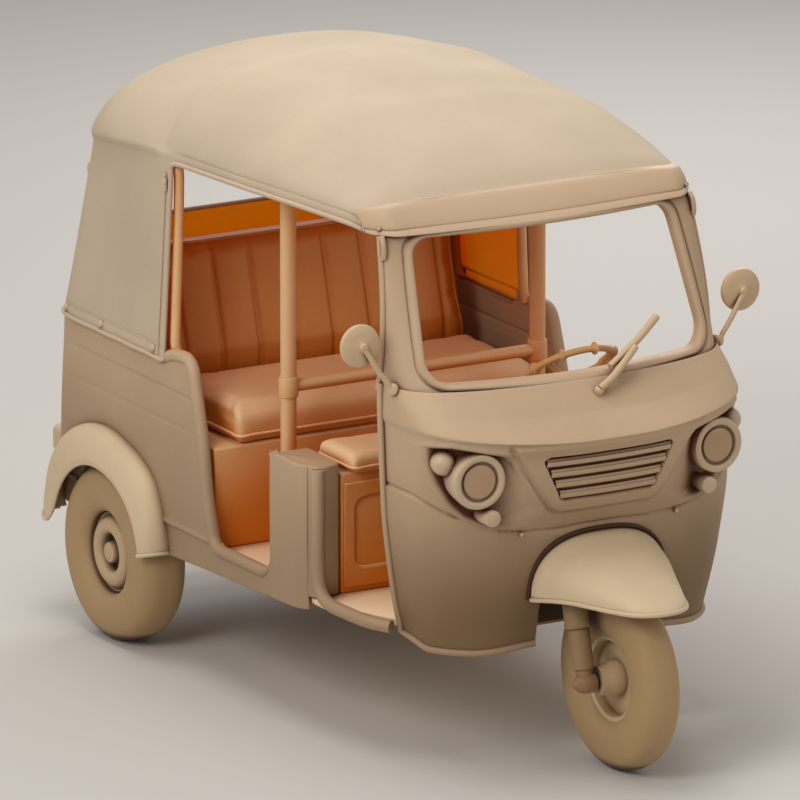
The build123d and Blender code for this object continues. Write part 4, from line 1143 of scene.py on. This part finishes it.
# ==== Rear panel, engine lid, lamps and bumper =====================================
# A pressed rear sheet with a beaded opening, a top-hinged louvred lid over the
# engine, two tail lamp housings and a tube bumper on brackets.
rear = softened("rear_panel", "rear_panel_sheet", 0.004)
for point in rear.data.vertices:
    if abs(point.co.x) > 0.535:
        point.co.x = math.copysign(0.546, point.co.x)
    point.co.y += rear_lean(point.co.y - front_axle, point.co.z) * ease(abs(point.co.x), 0.43, 0.53)
    if point.co.y < 2.11 + front_axle:
        point.co.y = max(point.co.y, 2.108 + front_axle)
rear_y = 2.125
trim = [tube("lid_surround", [spot(p.x, rear_y, p.y) for p in
                              rounded([(-0.405, 0.405), (0.405, 0.405), (0.405, 0.838), (-0.405, 0.838)],
                                      [0.03] * 4, 8)], 0.007, closed=True)]
trim.append(tube("rear_belt", [spot(-0.545, 2.122, 0.888), spot(0.545, 2.122, 0.888)], 0.008))
for side in (-1, 1):
    corner = [spot(side * 0.543, 2.1205 - 0.0115 * ease(z, 0.74, 0.888) + rear_lean(2.122, z), z)
              for z in (0.335 + 0.0275 * k for k in range(21))]
    trim.append(tube("corner_bead", corner, 0.0075))
rear = join("rear_panel_sheet", [rear] + trim)
rear.data.materials.append(body_paint)
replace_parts(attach(rear, "body"), "rear_panel")

lid_parts = [softened("engine_lid", "engine_lid_sheet", 0.004)]
for row_number in range(6):
    for column in (-1, 1):
        middle_x, height = column * 0.175, 0.520 + row_number * 0.042
        rows = []
        for drop, out in ((0.0, -0.002), (0.0, 0.004), (-0.004, 0.0095), (-0.012, 0.0105), (-0.022, 0.006),
                          (-0.028, -0.002)):
            rows.append([spot(middle_x + 0.115 * (k / 10 - 1),
                              rear_y + out * max(0.0, 1 - (k / 10 - 1) ** 8), height + drop) for k in range(21)])
        louvre = shaped_grid("louvre", rows)
        thicken(louvre, 0.002, facing=(0, 1, 0), offset=0.0)
        lid_parts.append(louvre)
lid_parts.append(turned("lid_latch", [(-0.01, 0.0), (-0.01, 0.021), (0.004, 0.021), (0.008, 0.018), (0.009, 0.0)],
                        spot(0, rear_y, 0.462), (0, 1, 0), 36))
lid = join("engine_lid_sheet", lid_parts)
smooth_shade(40)
lid.data.materials.append(body_paint)
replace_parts(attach(lid, "engine_lid"), "engine_lid")

tail = softened("tail_lamps", "tail_lamp_housings", 0.011, segments=4)
tail.data.materials.append(lamp_finish)
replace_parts(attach(tail, "body"), "tail_lamps")
bumper = softened("rear_bumper", "rear_bumper_tube", 0.005)
bumper.data.materials.append(frame_finish)
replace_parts(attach(bumper, "body"), "rear_bumper")
well = softened("front_wheel_well", "front_wheel_well_pressing", 0.003)
for point in well.data.vertices:
    if point.co.z < 0.62:
        point.co.y = max(point.co.y, 0.175 + front_axle)
# a darker copy of the tan with near-black painted shade reaching far: painted shade inside the wheel well
well_shaded_paint = coat("well_painted_shade", linear(150, 112, 78), linear(38, 16, 4), 0.7, amount=1.0, reach=0.35)
well.data.materials.append(well_shaded_paint)
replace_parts(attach(well, "body"), "front_wheel_well")


# ==== Hood =========================================================================
# Coated canvas stretched over four steel bows and laced to the belt: one canopy, two
# side curtains and a back with an open window, hemmed, piped and studded to the body.
hood_outer = coat("hood_cloth", linear(203, 185, 161), linear(136, 74, 26), 0.78, patch=0.55, wear_and_highlight=0.15, amount=0.7,
                  grain=420.0, bump=0.16, waviness=0.9, specular=0.25)
# the canvas's inner face: its orange colour is painted glow of light through the cloth; the subsurface weight scatters
# light for real
hood_inner_painted_glow = coat("hood_lining_painted_glow", linear(255, 150, 50), linear(255, 112, 2), 0.85, patch=0.4, wear_and_highlight=0.0, grain=420.0,
                  bump=0.12, specular=0.15)
lining_shader = hood_inner_painted_glow.node_tree.nodes["Principled BSDF"]
lining_shader.inputs["Subsurface Weight"].default_value = 0.7
lining_shader.inputs["Subsurface Radius"].default_value = (1.0, 0.34, 0.08)
lining_shader.inputs["Subsurface Scale"].default_value = 0.05
# stations of the crown and of the eave, half width, heights of the eave and of the crown, and how square the arch is
hood_plan = [
    (0.520, 0.522, 0.503, 1.460, 1.519, 5.0), (0.600, 0.592, 0.517, 1.466, 1.570, 3.4),
    (0.800, 0.790, 0.550, 1.472, 1.640, 2.65), (1.050, 1.040, 0.566, 1.466, 1.690, 2.45),
    (1.300, 1.290, 0.572, 1.458, 1.708, 2.35), (1.470, 1.468, 0.573, 1.450, 1.707, 2.35),
    (1.620, 1.590, 0.573, 1.440, 1.700, 2.3), (1.780, 1.730, 0.571, 1.426, 1.682, 2.3),
    (1.910, 1.860, 0.564, 1.412, 1.652, 2.3), (2.000, 1.950, 0.549, 1.400, 1.612, 2.35),
    (2.048, 2.010, 0.527, 1.390, 1.566, 2.4), (2.072, 2.046, 0.500, 1.382, 1.520, 2.4),
    (2.082, 2.062, 0.466, 1.376, 1.480, 2.4)]
hood_steps = [5, 8, 11, 11, 8, 7, 7, 7, 6, 5, 5, 5]
door_column = sum(hood_steps[:5])
hem_heights = [0.0, 0.005, 0.010, 0.0155, 0.020, 0.0235, 0.0265, 0.0295, 0.033, 0.040]
crown_steps = 26
bows = [0.50, 0.95, 1.475, 1.90, 2.10]
bow_sag = [0.007, 0.012, 0.014, 0.008]
# where the cloth is drawn in beside a bow: station, depth, and how far up the fold runs
hood_folds = [(1.115, 0.012, 0.18), (1.520, 0.032, 0.23), (1.965, 0.018, 0.20)]


def sag_at(station):
    """How far the cloth sinks between two bows."""
    for start, end, depth in zip(bows, bows[1:], bow_sag):
        if start <= station < end:
            share = (station - start) / (end - start)
            return depth * (4 * share * (1 - share)) ** 0.8
    return 0.0


hood_columns = []
for crown_s, eave_s, half, eave, crown, power in smooth_path(hood_plan, hood_steps):
    rise = crown - eave
    first = [math.asin(min(1.0, (h / rise) ** (power / 2))) for h in hem_heights]
    turns = first + [first[-1] + (math.pi / 2 - first[-1]) * k / crown_steps for k in range(1, crown_steps + 1)]
    column = []
    for turn in turns:
        up, out = math.sin(turn) ** (2 / power), max(0.0, math.cos(turn)) ** (2 / power)
        station = eave_s + (crown_s - eave_s) * up
        over = rise * up
        sag = sag_at(station) * (0.35 + 0.65 * ease(over, 0.02, 0.10))
        behind = min(1.0, max(0.0, (eave_s - 1.48) / 0.58))
        puff = 0.020 * math.sin(math.pi * behind) ** 0.6 * ease(over, 0.0, 0.035) * (1 - ease(over, 0.13, 0.30))
        hem = 0.0025 * ridge(over, 0.0265, 0.0028) * (1 - ease(eave_s, 1.40, 1.46))
        flat = 1 - up ** 3
        for fold, depth, reach in hood_folds:
            sag += depth * math.exp(-abs(eave_s - fold) / 0.040) * ease(over, 0.0, 0.05) * (1 - ease(over, 0.07, reach))
        column.append(Vector((half * out + (puff - hem - sag * 0.5 * flat) * min(1.0, out * 1.5),
                              station, eave + over - sag * (1 - 0.6 * flat))))
    hood_columns.append(column)
across = [[Vector((-p.x, p.y, p.z)) for p in column] + [p.copy() for p in reversed(column[:-1])]
          for column in hood_columns]
canopy = shaped_grid("canopy", [[spot(*p) for p in row] for row in across])
face_towards(canopy, (0, 0, 1))

# the side curtains, from the canopy's edge down to the belt
foot_height = 0.879
curtain_shares = [0.0, 0.012, 0.024, 0.036, 0.050, 0.062, 0.070, 0.085] + [0.085 + 0.915 * k / 16 for k in range(1, 17)]
curtains, curtain_lines = [], {}
last = len(hood_columns) - 1
for side in (-1, 1):
    lines = []
    for number in range(door_column, last + 1):
        top = hood_columns[number][0]
        run = (top.y - hood_columns[door_column][0].y) / (hood_columns[last][0].y - hood_columns[door_column][0].y)
        foot = Vector((0.5925 - 0.031 * max(0.0, (run - 0.86) / 0.14) ** 1.6, 1.487 + 0.638 * run, foot_height))
        line = []
        for share in curtain_shares:
            place = foot.lerp(top, share)
            taut = -0.006 * math.sin(math.pi * share) * math.sin(math.pi * min(1.0, run * 1.15))
            hem = 0.0022 * ridge(share, 0.062, 0.007)
            pull = 0.0012 * math.sin(run * 27) * (1 - share) ** 3
            place.x += (taut - hem + pull) * (1 if share < 1 else 0)
            line.append(spot(side * place.x, place.y, place.z))
        lines.append(line)
    curtain = shaped_grid("curtain", lines)
    face_towards(curtain, (side, 0, 0))
    curtains.append(curtain)
    curtain_lines[side] = lines

# the back, from the canopy's last arch in to the window
rim = curtain_lines[-1][-1] + [spot(*p) for p in across[-1][1:]] + curtain_lines[1][-1][-2::-1]
sill = [rim[-1].lerp(rim[0], k / 34) for k in range(1, 34)]
rim += sill
window_outline = rounded([(-0.345, 1.125), (-0.345, 1.355), (0.345, 1.355), (0.345, 1.125)], [0.045] * 4, 10)
window_loop = evenly(window_outline, 600)
middle = Vector((0, 1.22))
window_points = []
for place in rim:
    heading = Vector((place.x, place.z)) - middle
    best = min(window_loop, key=lambda p: -(p - middle).normalized().dot(heading.normalized()))
    window_points.append(best)
back_shares = [0.0, 0.05, 0.12, 0.20, 0.30, 0.42, 0.55, 0.68, 0.80, 0.88, 0.93, 0.965, 0.985, 1.0]
back_rows = []
for share in back_shares:
    row = []
    for place, target in zip(rim, window_points):
        x = place.x + (target.x - place.x) * share
        z = place.z + (target.y - place.z) * share
        face = 2.136 - 0.118 * (z - foot_height) - 0.010 * math.sin(math.pi * min(1.0, max(0.0, (z - 0.88) / 0.5)))
        station = place.y - front_axle
        blend = math.sin(math.pi / 2 * min(1.0, share / 0.30))
        hem = 0.003 * ridge(share, 0.93, 0.02)
        row.append(spot(x, station + (face - station) * blend - hem, z))
    back_rows.append(row)
back = loop_grid("back", back_rows)
face_towards(back, (0, 1, 0))
hood = join("hood_canvas", [canopy] + curtains + [back])
edit_all(hood)
bpy.ops.mesh.remove_doubles(threshold=0.0004)
bpy.ops.mesh.normals_make_consistent(inside=False)
leave_edit()
face_towards(hood, (0, 0, 1))
hood.data.materials.append(hood_outer)
hood.data.materials.append(hood_inner_painted_glow)
lining = hood.modifiers.new("thickness", "SOLIDIFY")
lining.thickness = 0.0035
lining.offset = -1.0
lining.material_offset = 1
lining.material_offset_rim = 0
apply_all(hood)
smooth_shade(60)
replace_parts(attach(hood, "body"), "hood")

# piping round every edge, a second line up the doorway, and the studs and buckles
piping = []
for side in (-1, 1):
    eave_edge = [spot(side * (c[0].x + 0.001), c[0].y, c[0].z) for c in hood_columns[:door_column + 1]]
    door_line = [p + Vector((side * 0.001, 0, 0)) for p in reversed(curtain_lines[side][0])]
    corner = len(eave_edge) - 3
    turn = smooth_path([eave_edge[corner], eave_edge[-1] + Vector((0, -0.012, -0.004)),
                        door_line[1].lerp(door_line[0], 0.55) + Vector((0, 0.001, 0)), door_line[1]], 6)
    piping.append(tube("edge_piping", eave_edge[:corner] + turn + door_line[2:], 0.0072))
    inner_line = [a.lerp(b, 0.55) + Vector((side * 0.0005, 0, 0)) for a, b in zip(curtain_lines[side][1],
                                                                                 curtain_lines[side][2])]
    piping.append(tube("door_piping", inner_line[:-1], 0.0042))
    foot_line = [line[0] + Vector((side * 0.001, 0, 0)) for line in curtain_lines[side]]
    piping.append(tube("belt_piping", foot_line, 0.0068))
    piping.append(tube("hem_stitch", [line[5] for line in curtain_lines[side]], 0.0024))
    for share in (0.085, 0.43, 0.78):
        line = curtain_lines[side][int(share * (last - door_column))]
        piping.append(turned("stud", [(-0.004, 0.0), (-0.004, 0.0115), (0.002, 0.0115), (0.006, 0.009), (0.0085, 0.004),
                                      (0.009, 0.0)], line[3].lerp(line[4], 0.3), (side, 0, 0.1), 24))
    for number, row in ((1, 21), (last - door_column - 3, 20)):
        place = curtain_lines[side][number][row]
        buckle = tube("buckle", [place + Vector((side * 0.004, 0.002, 0.016)),
                                 place + Vector((side * 0.007, 0.002, 0.0)),
                                 place + Vector((side * 0.004, 0.002, -0.018))], 0.0085)
        piping.append(buckle)
piping.append(tube("back_piping", [rim[-34]] + sill + [rim[0]], 0.0068))
piping.append(tube("window_piping", back_rows[-1], 0.006, closed=True))
piping.append(tube("front_piping", [spot(p.x, p.y - 0.001, p.z + 0.001) for p in across[0]], 0.0048))
hood_piping = join("hood_piping", piping)
hood_piping.data.materials.append(hood_outer)
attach(hood_piping, "body")


# ==== Hood frame ===================================================================
# Four bent steel bows and two cant rails, just under the canvas and out of sight
# behind the eave.
frame_parts = []
# station, radius, distance under the cloth, how far over the eave the arch starts, and whether legs reach the belt
bow_plan = [(0.83, 0.0115, 0.0185, 0.038, False), (1.12, 0.0115, 0.0185, 0.038, False),
            (1.475, 0.0145, 0.0225, 0.0, True), (1.90, 0.0145, 0.0225, 0.060, True)]
for station, radius, inset, clear, to_belt in bow_plan:
    column = min(hood_columns, key=lambda c, s=station: abs(c[-1].y - s))
    top = column[0]
    path = []
    for p in column:
        if p.z > top.z + clear:
            inward = Vector((p.x / 0.57, 0, (p.z - 1.2) / 0.5)).normalized() * inset
            path.append(Vector((p.x - inward.x, p.y, p.z - inward.z)))
    bow_path = [Vector((-p.x, p.y, p.z)) for p in path] + path[-2::-1]
    if to_belt:
        legs = [Vector((top.x + (0.592 - top.x) * (top.z - z) / (top.z - foot_height) - inboard, top.y + back, z))
                for inboard, back, z in ((0.026 + 0.1 * clear, 0.003, 1.40 - clear), (0.028, 0.004, 1.30),
                                         (0.0275, 0.005, 1.02), (0.027, 0.004, 0.93), (0.027, -0.010, 0.897))]
        bow_path = [Vector((-p.x, p.y, p.z)) for p in reversed(legs)] + bow_path + legs
    frame_parts.append(tube("bow", [spot(*p) for p in bow_path], radius))
for side in (-1, 1):
    held = [min(hood_columns, key=lambda c, s=s: abs(c[0].y - s))[9]
            for s in (0.58, 0.70, 0.85, 1.00, 1.25, 1.40, 1.62, 1.76, 1.88)]
    rail = smooth_path([spot(side * (p.x - 0.026), p.y, p.z - 0.004) for p in held], 8)
    frame_parts.append(tube("cant_rail", rail, 0.010))
hood_frame = join("hood_frame_tubes", frame_parts)
hood_frame.data.materials.append(cabin_paint)
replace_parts(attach(hood_frame, "body"), "hood_frame")


# ==== Cabin panels =================================================================
# The passenger seat's base, a welded box over the running gear, and the driver's seat
# box with a pressed panel in its front: steel sheet, welded to the floor.
base = softened("passenger_seat_base", "passenger_seat_base_box", 0.006)
base.data.materials.append(cabin_paint)
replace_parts(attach(base, "body"), "passenger_seat_base")

seat_box = softened("driver_seat_box", "driver_seat_box_case", 0.006)
box_front = 0.705
panels = []
for middle_x in (-0.232, 0.232):
    opening = evenly(rounded([(-0.196, 0.452), (0.196, 0.452), (0.196, 0.652), (-0.196, 0.652)], [0.032] * 4, 10), 160)
    edge = evenly(rounded([(-0.231, 0.396), (0.231, 0.396), (0.231, 0.694), (-0.231, 0.694)], [0.004] * 4, 2), 160)
    loops = []
    for share, forward in ((0.0, -0.001), (0.0, 0.0035), (0.05, 0.0060), (0.14, 0.0072), (0.60, 0.0072),
                           (0.93, 0.0070), (0.99, 0.0055), (1.0, -0.001)):
        loops.append([spot(middle_x + p.lerp(q, share).x, box_front - forward, p.lerp(q, share).y)
                      for p, q in zip(opening, edge)])
    panels.append(loop_grid("pressed_frame", loops))
    thicken(panels[-1], 0.001, facing=(0, -1, 0))
seat_box = join("driver_seat_box_case", [seat_box] + panels)
seat_box.data.materials.append(cabin_paint)
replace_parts(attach(seat_box, "body"), "driver_seat_box")


# ==== Partition frame ==============================================================
# Two steel posts from the floor to the hood behind the driver, a grab rail between
# them with a cast collar at each end, and a round foot plate under each post.
post_x, post_station, rail_height, floor_height = 0.400, 1.120, 0.864, 0.380
frame_pieces = []
column = min(hood_columns, key=lambda c: abs(c[-1].y - post_station))
top_height = min(column, key=lambda p: abs(p.x - post_x)).z - 0.022
for x in (-post_x, post_x):
    foot, collar_middle = spot(x, post_station, floor_height), spot(x, post_station, rail_height)
    frame_pieces.append(tube("post", [spot(x, post_station, 0.381), spot(x, post_station, top_height)], 0.0225, 12))
    frame_pieces.append(turned("collar", [(-0.030, 0.0225), (-0.028, 0.0265), (-0.022, 0.028), (0.022, 0.028),
                                          (0.028, 0.0265), (0.030, 0.0225)], collar_middle, (0, 0, 1), 40))
    frame_pieces.append(turned("foot", [(0.0, 0.0), (0.0, 0.046), (0.006, 0.046), (0.010, 0.042), (0.012, 0.030),
                                        (0.022, 0.0245), (0.024, 0.0)], foot, (0, 0, 1), 40))
frame_pieces.append(tube("grab_rail", [spot(x, post_station, rail_height) for x in (-post_x, post_x)], 0.0175, 12))
partition = join("partition_frame_tubes", frame_pieces)
partition.data.materials.append(cabin_paint)
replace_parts(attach(partition, "body"), "partition_frame")


# ==== Steering wheel and column ====================================================
# A moulded ring with grips along its back on three steel spokes, dished to a hub;
# the jacket of its column runs down to a plate on the wheel well.
hub = spot(0.172, 0.540, 0.950)
column_rake = math.radians(35)
column_up = Vector((0, math.sin(column_rake), math.cos(column_rake)))
wheel_side = Vector((1, 0, 0))
wheel_ahead = column_up.cross(wheel_side)


def on_wheel(radius, degrees, rise=0.0):
    """A place on the steering wheel, by distance from the hub and angle round it."""
    angle = math.radians(degrees)
    return hub + wheel_side * (radius * math.cos(angle)) + wheel_ahead * (radius * math.sin(angle)) + column_up * rise


ring = tube("ring", [on_wheel(0.122, k * 3, 0.034) for k in range(120)], 0.0095, 8, closed=True,
            swell=lambda share: 1.0 + 0.9 * max(0.0, math.sin(share * math.tau * 8)) ** 14)
wheel_parts = [ring]
for degrees in (90, 210, 330):
    wheel_parts.append(tube("spoke", smooth_path([on_wheel(0.020, degrees, -0.012), on_wheel(0.050, degrees, -0.008),
                                                  on_wheel(0.090, degrees, 0.020), on_wheel(0.119, degrees, 0.033)], 6),
                            0.0085, 6, swell=lambda share: 1.25 - 0.35 * share))
wheel_parts.append(turned("hub", [(-0.030, 0.0), (-0.030, 0.026), (-0.026, 0.030), (-0.004, 0.034), (0.004, 0.032),
                                  (0.010, 0.024), (0.012, 0.010), (0.0125, 0.0)], hub, column_up, 48))
wheel_parts.append(tube("shaft", [hub - column_up * 0.010, hub - column_up * 0.285], 0.0098, 8))
steering = join("steering_wheel_ring", wheel_parts)
# an orange copy of the tan: painted glow of bounce light on the steering wheel, with painted shade in its recesses
ring_painted_glow_finish = coat("steering_ring_painted_glow", linear(240, 186, 122), linear(196, 100, 12), 0.45, patch=0.2, wear_and_highlight=0.2,
                    bump=0.03, reach=0.12)
steering.data.materials.append(ring_painted_glow_finish)
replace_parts(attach(steering, "steering_wheel"), "steering_wheel")

column = softened("steering_column", "steering_column_jacket", 0.003)
column.data.materials.append(cabin_paint)
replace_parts(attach(column, "body"), "steering_column")


# ==== Seats ========================================================================
# Foam pads under stretched leathercloth, sewn along their edges with a round welt:
# a bench, a leaning back with upright channels, and the driver's cushion.
# the covers' warm orange deep tones reach far: painted glow and painted shade over the seats, weaker on faces turned up
leathercloth = {"rough": 0.50, "patch": 0.5, "wear_and_highlight": 0.1, "amount": 1.0, "reach": 0.8, "grain": 300.0, "bump": 0.10,
                "waviness": 0.7, "specular": 0.35}
seat_cover = coat("seat_cover", linear(250, 210, 164), linear(216, 130, 50), topside=1.0, **leathercloth)


def stuffed(name, outline, half, shrink, limit, box, pressure=4.0):
    """A pad from its side outline, filled until the cloth is taut; no point moves more than the limit or leaves
    the box of half width, two stations and two heights that the seat has room for."""
    middle = sum((Vector(p) for p in outline), Vector((0, 0))) / len(outline)
    inner = [middle + (Vector(p) - middle).normalized() * ((Vector(p) - middle).length - shrink) for p in outline]
    piece = flat_outline(name, [spot(-(half - shrink), *p) for p in inner])
    thicken(piece, 2 * (half - shrink), facing=(-1, 0, 0))
    round_edges(piece, 0.016, 3, 50)
    mesher = piece.modifiers.new("even_cloth", "REMESH")
    mesher.mode = "VOXEL"
    mesher.voxel_size = 0.0078
    mesher.use_smooth_shade = True
    apply_all(piece)
    before = [point.co.copy() for point in piece.data.vertices]
    cover = piece.modifiers.new("stuffing", "CLOTH")
    cover.settings.use_pressure = True
    cover.settings.uniform_pressure_force = pressure
    cover.settings.quality = 5
    cover.settings.mass = 0.4
    cover.settings.tension_stiffness = 18.0
    cover.settings.compression_stiffness = 18.0
    cover.settings.bending_stiffness = 0.6
    cover.settings.effector_weights.gravity = 0.0
    cover.collision_settings.use_collision = False
    cover.point_cache.frame_start = 1
    cover.point_cache.frame_end = 20
    for moment in range(1, 21):
        scene.frame_set(moment)
    apply_all(piece)
    scene.frame_set(1)
    wide, near, far, low, high = box
    for point, start in zip(piece.data.vertices, before, strict=True):
        moved = point.co - start
        place = start + moved.normalized() * min(limit, moved.length) if moved.length > 0 else start
        point.co = (max(-wide, min(wide, place.x)), max(near + front_axle, min(far + front_axle, place.y)),
                    max(low, min(high, place.z)))
    settle = piece.modifiers.new("settle", "SMOOTH")
    settle.factor = 0.5
    settle.iterations = 10
    finer = piece.modifiers.new("finer", "SUBSURF")
    finer.levels = 1
    finer.render_levels = 1
    apply_all(piece)
    return piece


def sewn_welt(name, piece, path, radius=0.0055, closed=True):
    """A welt lying on a pad along a path near its surface."""
    on_pad = []
    for place in path:
        found, hit, normal, _ = piece.closest_point_on_mesh(place)
        on_pad.append(hit + normal * 0.001 if found else place)
    return tube(name, on_pad, radius, 5, closed=closed)


def plan_loop(half, near, far, radius, height):
    """A level rounded rectangle as places round a pad."""
    corners = [(-half, near), (half, near), (half, far), (-half, far)]
    return [spot(p.x, p.y, height) for p in evenly(rounded(corners, [radius] * 4, 8), 240)]


bench = stuffed("passenger_bench", rounded([(1.238, 0.6725), (1.238, 0.7800), (1.656, 0.7800), (1.656, 0.6725)],
                                           [0.022, 0.045, 0.030, 0.015], 8),
                0.499, 0.007, 0.013, (0.510, 1.226, 1.661, 0.6706, 0.7900))
welts = [sewn_welt("bench_welt", bench, plan_loop(0.497, 1.238, 1.656, 0.040, 0.694), 0.0050)]
bench = join("passenger_bench", [bench] + welts)
bench.data.materials.append(seat_cover)
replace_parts(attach(bench, "body"), "passenger_seat_cushion")

lean = stuffed("passenger_back", rounded([(1.667, 0.6725), (1.767, 0.6725), (1.893, 1.142), (1.764, 1.142),
                                          (1.667, 0.800)], [0.020, 0.020, 0.045, 0.045, 0.10], 8),
               0.499, 0.008, 0.016, (0.510, 1.6635, 1.920, 0.6706, 1.152))
channels = [-0.42 + 0.12 * k for k in range(8)]
facing = [point.normal.copy() for point in lean.data.vertices]
for point, normal in zip(lean.data.vertices, facing):
    if normal.y > -0.15:
        continue
    near_line = min(abs(point.co.x - x) for x in channels)
    upright = ease(-normal.y, 0.15, 0.5)
    span = ease(point.co.z, 0.69, 0.74) * (1 - ease(point.co.z, 1.085, 1.125))
    depth = 0.0085 * ridge(near_line, 0, 0.0075) - 0.0035 * (1 - ridge(near_line, 0, 0.030))
    point.co -= normal * depth * upright * span
half_path = [(0.490, 1.668, 0.72), (0.492, 1.668, 0.80), (0.492, 1.715, 0.97), (0.490, 1.760, 1.115),
             (0.470, 1.775, 1.141), (0.0, 1.775, 1.143)]
edge_path = [spot(-x, s, z) for x, s, z in half_path] + [spot(*p) for p in half_path[-2::-1]]
edge_path = evenly(smooth_path(edge_path, 12), 220, closed=False)
lean = join("passenger_back", [lean, sewn_welt("back_welt", lean, edge_path, 0.0055, closed=False)])
# a more orange copy of the seat cover: painted glow on the leaning back
back_cover_painted_glow = coat("back_cover_painted_glow", linear(226, 168, 96), linear(194, 102, 0), topside=0.3, **leathercloth)
lean.data.materials.append(back_cover_painted_glow)
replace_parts(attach(lean, "body"), "passenger_seat_back")

perch = stuffed("driver_cushion", rounded([(0.667, 0.7240), (0.667, 0.7790), (0.877, 0.7790), (0.877, 0.7240)],
                                          [0.010, 0.020, 0.018, 0.010], 6),
                0.463, 0.005, 0.007, (0.466, 0.661, 0.880, 0.7226, 0.7830))
perch = join("driver_cushion", [perch, sewn_welt("cushion_welt", perch, plan_loop(0.462, 0.667, 0.877, 0.022, 0.740),
                                                 0.0042)])
perch.data.materials.append(seat_cover)
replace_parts(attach(perch, "body"), "driver_seat_cushion")
